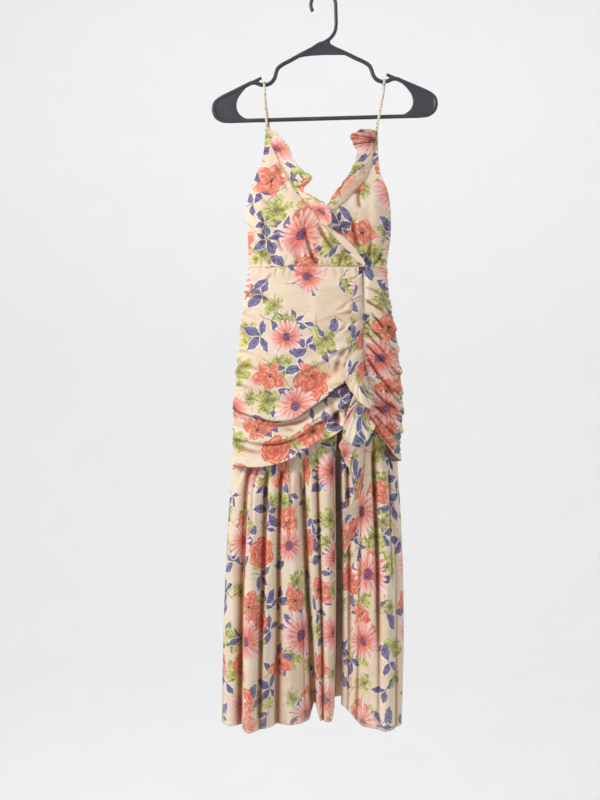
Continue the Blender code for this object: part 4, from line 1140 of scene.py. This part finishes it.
cascades = {
    "upper": (
        (70, -531, 61, -538, 4), (69, -583, 51, -591, 8), (69, -640, 47, -662, 10), (70, -682, 36, -723, 15),
        (74, -706, 54, -761, 21), (77, -722, 77, -781, 24), (79, -736, 89, -758, 14),
    ),
    "middle": (
        (79, -741, 57, -747, 3), (80, -752, 44, -778, 8), (80, -765, 33, -834, 17), (81, -780, 67, -845, 23),
        (81, -797, 90, -813, 14),
    ),
    "lower": (
        (80, -802, 56, -808, 3), (78, -817, 36, -832, 8), (75, -836, 28, -854, 13), (73, -866, 45, -896, 15),
        (70, -908, 52, -930, 13), (66, -936, 49, -953, 15), (63, -958, 36, -974, 9), (60, -993, 41, -1012, 6),
        (54, -1026, 41, -1050, 4),
    ),
}


seamProbe = {"across": (-5, -2, 0, 2, 5), "down": (-4, 0, 4), "from": -300, "reach": 310}


def standOff(panels, x, z):  # how far the front of these panels stands out of the oval
    trees = [
        BVHTree.FromPolygons([v.co for v in panel.data.vertices], [f.vertices for f in panel.data.polygons])
        for panel in panels
    ]
    oval = -onBody(angleAt(x, z), z, 0, front)[:, 1]
    out = np.full(len(x), -1000.0)
    for k in range(len(x)):
        for dx in seamProbe["across"]:
            for dz in seamProbe["down"]:
                start = Vector((x[k] + dx, seamProbe["from"], z[k] + dz)) * mm
                for tree in trees:
                    hit = tree.ray_cast(start, Vector((0, 1, 0)), seamProbe["reach"] * mm)[0]
                    if hit:
                        out[k] = max(out[k], -hit.y / mm - oval[k])
    return out


def pulledTaut(out, x, z, slope):  # a seam rides over the bumps and spans the hollows
    out = out.copy()
    step = np.hypot(np.diff(x), np.diff(z)) * slope
    for k in range(1, len(out)):
        out[k] = max(out[k], out[k - 1] - step[k - 1])
    for k in range(len(out) - 2, -1, -1):
        out[k] = max(out[k], out[k + 1] - step[k])
    return out


def makeFlounce(name, table, panels, lean, seed, looks, perStation=12, rows=22, turned=None, bunched=0):
    knots = np.array(table, float)
    places = np.arange(len(knots))
    s = np.linspace(0, places[-1], (len(knots) - 1) * perStation + 1)[:, None]
    sewnX, sewnZ, freeX, freeZ, rise = (smooth(places, knots[:, k], s) for k in range(5))
    sewnX = sewnX - 2.6 * np.sign(np.mean(freeX - sewnX))  # lies over the panel's edge
    seamX, seamZ = sewnX[:, 0], sewnZ[:, 0]
    base = pulledTaut(standOff(panels, seamX, seamZ), seamX, seamZ, 0.2)[:, None] + 1.1 + body["seamGap"]
    r = np.linspace(0, 1, rows)[None, :]
    a, b, c = (1 - r) ** 2, 2 * r * (1 - r), r**2  # shares of the sewn edge, a point between and the free edge
    width = np.hypot(freeX - sewnX, freeZ - sewnZ)
    walk = runLength(np.stack([sewnX, sewnZ], -1), 0)
    edgeWalk = runLength(np.stack([freeX, freeZ], -1), 0)
    x = a * sewnX + b * (sewnX + lean * width) + c * freeX
    z = a * sewnZ + b * (sewnZ + 0.15 * (freeZ - sewnZ)) + c * freeZ
    x = x + c * 1.1 * slowNoise(seed, edgeWalk, (19, 31)) * np.minimum(width / 20, 1)
    z = z + c * 1.1 * slowNoise(seed + 1, edgeWalk, (17, 27)) * np.minimum(width / 20, 1)
    out = base + b * 0.9 * rise + c * rise
    puckers = 0.9 * slowNoise(seed + 2, walk, (5.5, 8.5, 13)) * ramp(r / 0.06) * (1 - ramp((r - 0.1) / 0.5))
    ripples = 1.5 * slowNoise(seed + 3, edgeWalk + 5 * r, (12, 18, 29)) * ramp((r - 0.2) / 0.8)
    crowd = 3.4 * slowNoise(seed + 4, walk + 0.4 * edgeWalk + 3 * r, (7.5, 11)) * ramp(r / 0.3)
    crowd = crowd * ramp((bunched - s) / 1.5)
    out = out + (puckers + ripples + crowd) * np.minimum(width / 18, 1)
    points = onBody(angleAt(x, z), z, out, front)
    facing = -1 if float(np.mean(freeX - sewnX)) > 0 else 1
    outward = runLength(points, 1)
    fabric = (edgeWalk + 0 * r, outward)
    # painted shade in the bottoms of the ruffle's folds; the part turned wrong side out gets none
    shade = hollows(out.T, 2, 6, 2.5).T * 0.8
    if turned:
        start, end, far = turned
        reach = far * np.clip(np.sin(math.pi * (s - start) / (end - start)), 0, 1) ** 0.35
        reach = reach * ((s > start) & (s < end))
        out = out - 2.4 * np.exp(-(((r - reach) * width / 2.2) ** 2)) * (reach > 0.05)
        shade = np.where(r < reach, 0, shade)
        points = onBody(angleAt(x, z), z, out, front)
    edgesAndShade = (outward[:, -1:] - outward, shade)
    piece = clothShell(name, points, fabric, edgesAndShade, facing, looks, wall=neckRuffles["wall"])
    if turned:
        inside = ((r < reach)[:-1, :-1]).ravel()
        for face in np.flatnonzero(inside):
            piece.data.polygons[int(face)].material_index = 1
    return piece


# the straps

strapCut = {
    "left": {"tip": (-105.5, -256), "backX": -84},
    "right": {"tip": (99.5, -259), "backX": 78},
    "halfWidth": 2.3,
    "halfThick": 0.9,
    "ring": 12,
}
hangerSize = {
    "tilt": math.radians(1.6),
    "offCentre": -2.5,  # the rim's middle, from the middle of the hook
    "tube": 3.9,
    "notchTube": 3.12,
    "hookTube": 3.5,
    "hookRadius": 23.4,
    "web": 3.0,
    "notch": (113, -168),
}


def notchAt(side):
    x, z = side * hangerSize["notch"][0] + hangerSize["offCentre"], hangerSize["notch"][1]
    tilt = hangerSize["tilt"]
    return x * math.cos(tilt) - z * math.sin(tilt), x * math.sin(tilt) + z * math.cos(tilt)


def makeStrap(name, cut, side):
    tipX, tipZ = cut["tip"]
    backX = cut["backX"]
    notchX, notchZ = notchAt(side)
    over = hangerSize["tube"] + body["seamGap"] + strapCut["halfThick"] + 0.3
    arc = [(notchX, over * math.sin(a), notchZ + over * math.cos(a)) for a in np.radians(range(-90, 91, 15))]
    left, right, _, _ = bodyAt(body["underarm"])
    backTop = body["underarm"] - body["backDip"] * math.sin(math.pi * (backX - left) / (right - left))
    backOut = float(onBody(angleAt(backX, backTop), backTop, 0, back)[1])
    frontOut = float(onBody(angleAt(tipX, tipZ), tipZ, 0, front)[1])
    start = [(tipX, frontOut + 0.5, tipZ - 2), (tipX + (notchX - tipX) * 0.4, -8, tipZ + 30)]
    down = [(notchX + (backX - notchX) * 0.25, 8.5, notchZ - 65), (notchX + (backX - notchX) * 0.6, 14, notchZ - 140)]
    route = np.array(start + arc + down + [(backX, backOut - 0.7, backTop - 2)], float)
    along = runLength(route, 0)
    at = np.linspace(0, along[-1], 260)
    centre = np.stack([smooth(along, route[:, k], at) for k in range(3)], -1)
    tangent = np.gradient(centre, axis=0)
    tangent /= np.linalg.norm(tangent, axis=1, keepdims=True)
    wide = np.array([1.0, 0, 0]) - tangent * tangent[:, :1]
    wide /= np.linalg.norm(wide, axis=1, keepdims=True)
    thick = np.cross(tangent, wide)
    twist = 0.35 * slowNoise(5 + side, at, (60, 95)) * ramp(at / 30) * ramp((at[-1] - at) / 30)
    wide, thick = (
        wide * np.cos(twist)[:, None] + thick * np.sin(twist)[:, None],
        thick * np.cos(twist)[:, None] - wide * np.sin(twist)[:, None],
    )
    ring = np.linspace(0, 2 * math.pi, strapCut["ring"], endpoint=False)
    plump = 1 + 0.05 * slowNoise(9 + side, at, (7, 11, 19))
    offset = (
        wide[:, None, :] * np.cos(ring)[None, :, None] * strapCut["halfWidth"]
        + thick[:, None, :] * np.sin(ring)[None, :, None] * strapCut["halfThick"]
    )
    points = centre[:, None, :] + offset * plump[:, None, None]
    rows, columns = points.shape[:2]
    mesh = bpy.data.meshes.new(name)
    index = np.arange(rows * columns).reshape(rows, columns)
    after = np.roll(index, -1, axis=1)
    faces = [list(map(int, f)) for f in np.stack([index[:-1], after[:-1], after[1:], index[1:]], -1).reshape(-1, 4)]
    faces += [list(map(int, index[0][::-1])), list(map(int, index[-1]))]
    mesh.from_pydata([Vector(p) * mm for p in points.reshape(-1, 3)], [], faces)
    layer = mesh.uv_layers.new(name="fabric")
    for loop in mesh.loops:
        layer.data[loop.index].uv = (loop.vertex_index % columns * mm, at[loop.vertex_index // columns] * mm)
    tidy = bmesh.new()
    tidy.from_mesh(mesh)
    bmesh.ops.recalc_face_normals(tidy, faces=tidy.faces)
    tidy.to_mesh(mesh)
    tidy.free()
    mesh.shade_smooth()
    mesh.materials.append(strapCloth)
    return linked(name, mesh), float(along[-1])


# the hanger

endCurve = (
    (165, -176.3), (182, -184), (197, -191.5), (207, -200), (210, -212), (206, -225), (194, -233), (180, -234.5))
hangerLines = {
    "halfRim": (
        (0, -92), (22, -103), (43, -113), (62, -123), (78, -131), (86, -137), (90, -145), (92.5, -154), (98, -162.5),
        (106, -167.3), (113, -168), (120, -167.3), (128, -164), (134, -163), (148, -168.5), *endCurve,
        (160, -234.5), (90, -234.5),
    ),
    "notchTip": ((134, -162), (124, -157.5), (118, -154.5)),
    "hookFoot": ((-20, -102), (-2, -92), (13, -82), (21, -70), (23.4, -56)),
    "endRim": ((146, -168), *endCurve, (140, -234.5)),
    "endArc": ((140, -233), (152, -229), (162, -221), (166.5, -208), (164, -194), (157, -183), (147, -172)),
    "topWeb": (
        (-58, -121), (-43, -113), (-22, -103), (-2, -92), (12, -83), (14.5, -97), (24, -104), (43, -113), (48, -116),
        (40, -116), (26, -115.2), (0, -114.8), (-18, -115.2), (-36, -116.6), (-48, -119),
    ),
    "voxel": 1.15,
}


def rounded(points, closed=False, fine=6):  # a smooth line through the given points
    knots = np.array(points, float)
    if closed:
        knots = np.concatenate([knots[-3:], knots, knots[:3]])
    run = runLength(knots, 0)
    first, last = (3, len(knots) - 3) if closed else (0, len(knots) - 1)
    at = np.concatenate([np.linspace(run[k], run[k + 1], fine, endpoint=False) for k in range(first, last)])
    if not closed:
        at = np.append(at, run[-1])
    return [(float(smooth(run, knots[:, 0], t)), float(smooth(run, knots[:, 1], t))) for t in at]


def mirror(line):
    return [(-x, z) for x, z in reversed(line)]


def tubeShape(line, radius, closed):
    curve = bpy.data.curves.new("tube", "CURVE")
    curve.dimensions = "3D"
    curve.bevel_depth = radius * mm
    curve.bevel_resolution = 5
    curve.use_fill_caps = True
    spline = curve.splines.new("POLY")
    spline.points.add(len(line) - 1)
    for point, (x, z) in zip(spline.points, line):
        point.co = (x * mm, 0, z * mm, 1)
    spline.use_cyclic_u = closed
    holder = linked("tube", curve)
    mesh = bpy.data.meshes.new_from_object(holder.evaluated_get(bpy.context.evaluated_depsgraph_get()))
    bpy.data.objects.remove(holder)
    return mesh


def webShape(outline, thickness):
    shape = bmesh.new()
    face = shape.faces.new([shape.verts.new((x * mm, -thickness / 2 * mm, z * mm)) for x, z in outline])
    grown = bmesh.ops.extrude_face_region(shape, geom=[face])["geom"]
    grown = [v for v in grown if isinstance(v, bmesh.types.BMVert)]
    bmesh.ops.translate(shape, verts=grown, vec=(0, thickness * mm, 0))
    bmesh.ops.recalc_face_normals(shape, faces=shape.faces)
    mesh = bpy.data.meshes.new("web")
    shape.to_mesh(mesh)
    shape.free()
    return mesh


def makeHanger():
    lines = hangerLines
    right = list(lines["halfRim"])
    rim = rounded(right + mirror(right[1:]), True, 4)
    endWeb = rounded(lines["endRim"], False, 4) + rounded(lines["endArc"], False, 5)
    radius, tube = hangerSize["hookRadius"], hangerSize["hookTube"]
    arc = [(radius * math.cos(a), tube - radius + radius * math.sin(a)) for a in np.radians(range(0, 211, 6))]
    shapes = [tubeShape(rim, hangerSize["tube"], True)]
    shapes += [tubeShape(tip, hangerSize["notchTube"], False) for tip in (lines["notchTip"], mirror(lines["notchTip"]))]
    shapes += [webShape(outline, hangerSize["web"]) for outline in (endWeb, mirror(endWeb), lines["topWeb"])]
    for shape in shapes:
        shape.transform(Matrix.Translation((hangerSize["offCentre"] * mm, 0, 0)))
    shapes.append(tubeShape(rounded(lines["hookFoot"]) + arc, tube, False))
    whole = bmesh.new()
    for shape in shapes:
        whole.from_mesh(shape)
    mesh = bpy.data.meshes.new("plasticHanger")
    whole.to_mesh(mesh)
    whole.free()
    piece = linked("plasticHanger", mesh)
    blend = piece.modifiers.new("blend", "REMESH")
    blend.mode = "VOXEL"
    blend.voxel_size = lines["voxel"] * mm
    blend.use_smooth_shade = True
    soften = piece.modifiers.new("soften", "SMOOTH")
    soften.factor = 0.5
    soften.iterations = 4
    done = bpy.data.meshes.new_from_object(piece.evaluated_get(bpy.context.evaluated_depsgraph_get()))
    piece.modifiers.clear()
    piece.data = done
    done.transform(Matrix.Rotation(-hangerSize["tilt"], 4, "Y"))
    done.materials.clear()
    done.materials.append(plastic)
    return piece


# put together

made = {}
bodiceLooks = chiffonPair("bodiceCloth", (140, 60, 0), 0.25)
made["bodice_front_left"] = makeBodiceFront(
    "dressBodiceLeft", bodiceLeft, -1, 5, waistGathers(21, -136, 62, 14), bodiceLooks)
bodiceRightLooks = chiffonPair("wrapUnderCloth", (520, 340, 0), 0.25)
made["bodice_front_right"] = makeBodiceFront(
    "dressBodiceRight", bodiceRight, 1, 0, waistGathers(22, 30, 116, 8), bodiceRightLooks)
made["bodice_back"] = makeBodiceBack(chiffonPair("backCloth", (900, 120, 0), 0.25))
print("bodice sewn")
made["hip_front_left"] = makeHipLeft(chiffonPair("hipLeftCloth", (260, 830, 0), 0.2))
made["hip_front_right"] = makeHipRight(chiffonPair("hipRightCloth", (1210, 400, 0), 0.2))
made["hip_back"] = makeHipBack(chiffonPair("hipBackCloth", (1600, 700, 0), 0.2))
print("hips draped")
made["skirt_front_left"] = makeSkirt(
    "dressSkirtLeft", front, skirtLeft, chiffonPair("skirtLeftCloth", (410, 1330, 0), 0.4, True), (0,))
made["skirt_front_right"] = makeSkirt(
    "dressSkirtRight", front, skirtRight, chiffonPair("skirtRightCloth", (1130, 1300, 0), 0.4, True), (-1,))
made["skirt_back"] = makeSkirt(
    "dressSkirtBack", back, skirtBack, chiffonPair("skirtBackCloth", (1900, 1500, 0), 0.4, True), (0, -1))
print("skirt gathered")
ruffleLooks = chiffonPair("ruffleCloth", (700, 820, 0), 0.25)
fronts = [made["bodice_front_left"], made["bodice_front_right"]]
made["neck_ruffle_left"] = makeFlounce("neckRuffleLeft", neckRuffles["left"], fronts, 0.4, 61, ruffleLooks)
made["neck_ruffle_right"] = makeFlounce(
    "neckRuffleRight", neckRuffles["right"], fronts[1:], -0.4, 67, ruffleLooks, 16, 28,
    neckRuffles["turned"], neckRuffles["bunched"])
cascadeLooks = chiffonPair("cascadeCloth", (980, 640, 0), 0.25)
under = [made["hip_front_left"], made["hip_front_right"], made["skirt_front_right"]]
for k, (part, table) in enumerate(cascades.items()):
    made["cascade_" + part] = makeFlounce(
        "cascade" + part.title(), table, under, -0.4, 71 + 6 * k, cascadeLooks, 16, 26)
print("flounces sewn on")
made["strap_left"], leftStrapLength = makeStrap("strapLeft", strapCut["left"], -1)
made["strap_right"], rightStrapLength = makeStrap("strapRight", strapCut["right"], 1)
made["hanger"] = makeHanger()
print("straps and hanger made")

for node, piece in made.items():
    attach(piece, "root")
    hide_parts(node)
    "charcoal_plastic" if node == "hanger" else "strap_chiffon" if "strap" in node else "printed_chiffon"


# the studio

studio = {
    "floorZ": -2.3,
    "floorRadius": 3.2,
    "floorTones": ((0.90, 0.90, 0.905, 1), (0.93, 0.93, 0.93, 1)),
    "curve": 2.0,
    "wallHeight": 5.2,
    "world": (0.96, 0.965, 0.98),
    "worldStrength": 0.6,
    "key": {"at": (-1.7, -1.15, 0.5), "size": 0.55, "power": 37, "colour": (1.0, 0.975, 0.94)},
    "fill": {"at": (0.2, -2.6, 0.2), "size": 1.8, "power": 3.5, "colour": (1.0, 0.92, 0.84)},
    "wash": {"at": (0.0, 1.2, 2.6), "size": 3.0, "power": 66, "colour": (1.0, 1.0, 1.0), "aim": (0, 5.2, -1.0)},
    "aim": (-0.02, 0, -0.72),  # the middle of the dress
}
view = {"at": (-0.0434, -1.5, -0.766), "lens": 35.75, "sensor": 36, "clip": (0.05, 20)}


def makeStudio():
    radius, curve = studio["floorRadius"], studio["curve"]
    profile = [(radius, 0.0)]
    profile += [(radius + curve * math.sin(a), curve - curve * math.cos(a)) for a in np.radians(range(6, 91, 6))]
    profile += [(radius + curve, studio["wallHeight"])]
    sweep = bmesh.new()
    turns = np.radians(range(0, 360, 5))
    rings = [
        [sweep.verts.new((r * math.cos(a), r * math.sin(a), studio["floorZ"] + z)) for a in turns] for r, z in profile
    ]
    sweep.faces.new(rings[0])
    for low, high in zip(rings, rings[1:]):
        for k in range(len(turns)):
            after = (k + 1) % len(turns)
            sweep.faces.new((low[k], high[k], high[after], low[after]))
    mesh = bpy.data.meshes.new("paleFloor")
    sweep.to_mesh(mesh)
    sweep.free()
    mesh.shade_smooth()
    floor = linked("paleFloor", mesh)
    pale, n, shader = newMaterial("paleFloor")
    mottle = n.noise(n.add("ShaderNodeTexCoord", output="Object"), 3.0)
    n.fill(shader, {"Base Color": n.mix(mottle, *studio["floorTones"]), "Roughness": 0.9})
    mesh.materials.append(pale)
    world = bpy.data.worlds.new("studio")
    bpy.context.scene.world = world
    world.use_nodes = True
    sky = world.node_tree.nodes["Background"]
    sky.inputs["Color"].default_value = (*studio["world"], 1)
    sky.inputs["Strength"].default_value = studio["worldStrength"]
    for title in ("key", "fill", "wash"):
        lamp = studio[title]
        data = bpy.data.lights.new(title, "AREA")
        data.size = lamp["size"]
        data.energy = lamp["power"]
        data.color = lamp["colour"]
        light = linked(title, data)
        light.location = lamp["at"]
        light.visible_camera = False
        aim = Vector(lamp.get("aim", studio["aim"])) - light.location
        light.rotation_euler = aim.to_track_quat("-Z", "Y").to_euler()


def makeCamera():
    data = bpy.data.cameras.new("camera")
    data.lens = view["lens"]
    data.sensor_width = view["sensor"]
    data.clip_start, data.clip_end = view["clip"]
    camera = linked("camera", data)
    camera.location = view["at"]
    camera.rotation_euler = (math.radians(90), 0, 0)
    bpy.context.scene.camera = camera
    bpy.context.scene.view_settings.view_transform = "Standard"


makeStudio()
makeCamera()
print("studio lit")


# the cut cloth

# Metres: width and length before sewing, the area where the cut isn't a rectangle, how it is held and by what.
cutCloth = {
    "bodice_front_left": {"flat": (0.215, 0.270), "area": 0.0305, "held": "hung", "on": ("strap_left", "bodice_back")},
    "bodice_front_right": {
        "flat": (0.165, 0.265), "area": 0.0245, "held": "hung", "on": ("strap_right", "bodice_back")},
    "bodice_back": {"flat": (0.275, 0.120), "held": "hung", "on": ("strap_left", "strap_right")},
    "hip_front_left": {"flat": (0.230, 0.430), "held": "draped", "on": ("bodice_front_left", "hip_back")},
    "hip_front_right": {"flat": (0.110, 0.420), "held": "gathered", "on": ("bodice_front_right", "hip_back")},
    "hip_back": {"flat": (0.305, 0.430), "held": "gathered", "on": ("bodice_back",)},
    "skirt_front_left": {"flat": (0.345, 0.500), "held": "gathered", "on": ("hip_front_left",)},
    "skirt_front_right": {"flat": (0.195, 0.500), "held": "gathered", "on": ("hip_front_right",)},
    "skirt_back": {"flat": (0.465, 0.500), "held": "gathered", "on": ("hip_back",)},
    "neck_ruffle_left": {"flat": (0.360, 0.0225), "held": "gathered", "on": ("bodice_front_left",)},
    "neck_ruffle_right": {"flat": (0.240, 0.031), "held": "gathered", "on": ("bodice_front_right",)},
    "cascade_upper": {"flat": (0.320, 0.026), "held": "gathered", "on": ("hip_front_left", "hip_front_right")},
    "cascade_middle": {"flat": (0.140, 0.045), "held": "gathered", "on": ("hip_front_right",)},
    "cascade_lower": {"flat": (0.300, 0.030), "held": "gathered", "on": ("skirt_front_right",)},
    "strap_left": {"flat": (0.010, leftStrapLength * mm), "folded": True, "held": "hung", "on": ("hanger",)},
    "strap_right": {"flat": (0.010, rightStrapLength * mm), "folded": True, "held": "hung", "on": ("hanger",)},
}
for node, cut in cutCloth.items():
    width, length = cut["flat"]
    area = width * length / 2 if "folded" in cut else cut.get("area")  # the straps are folded in two along their length
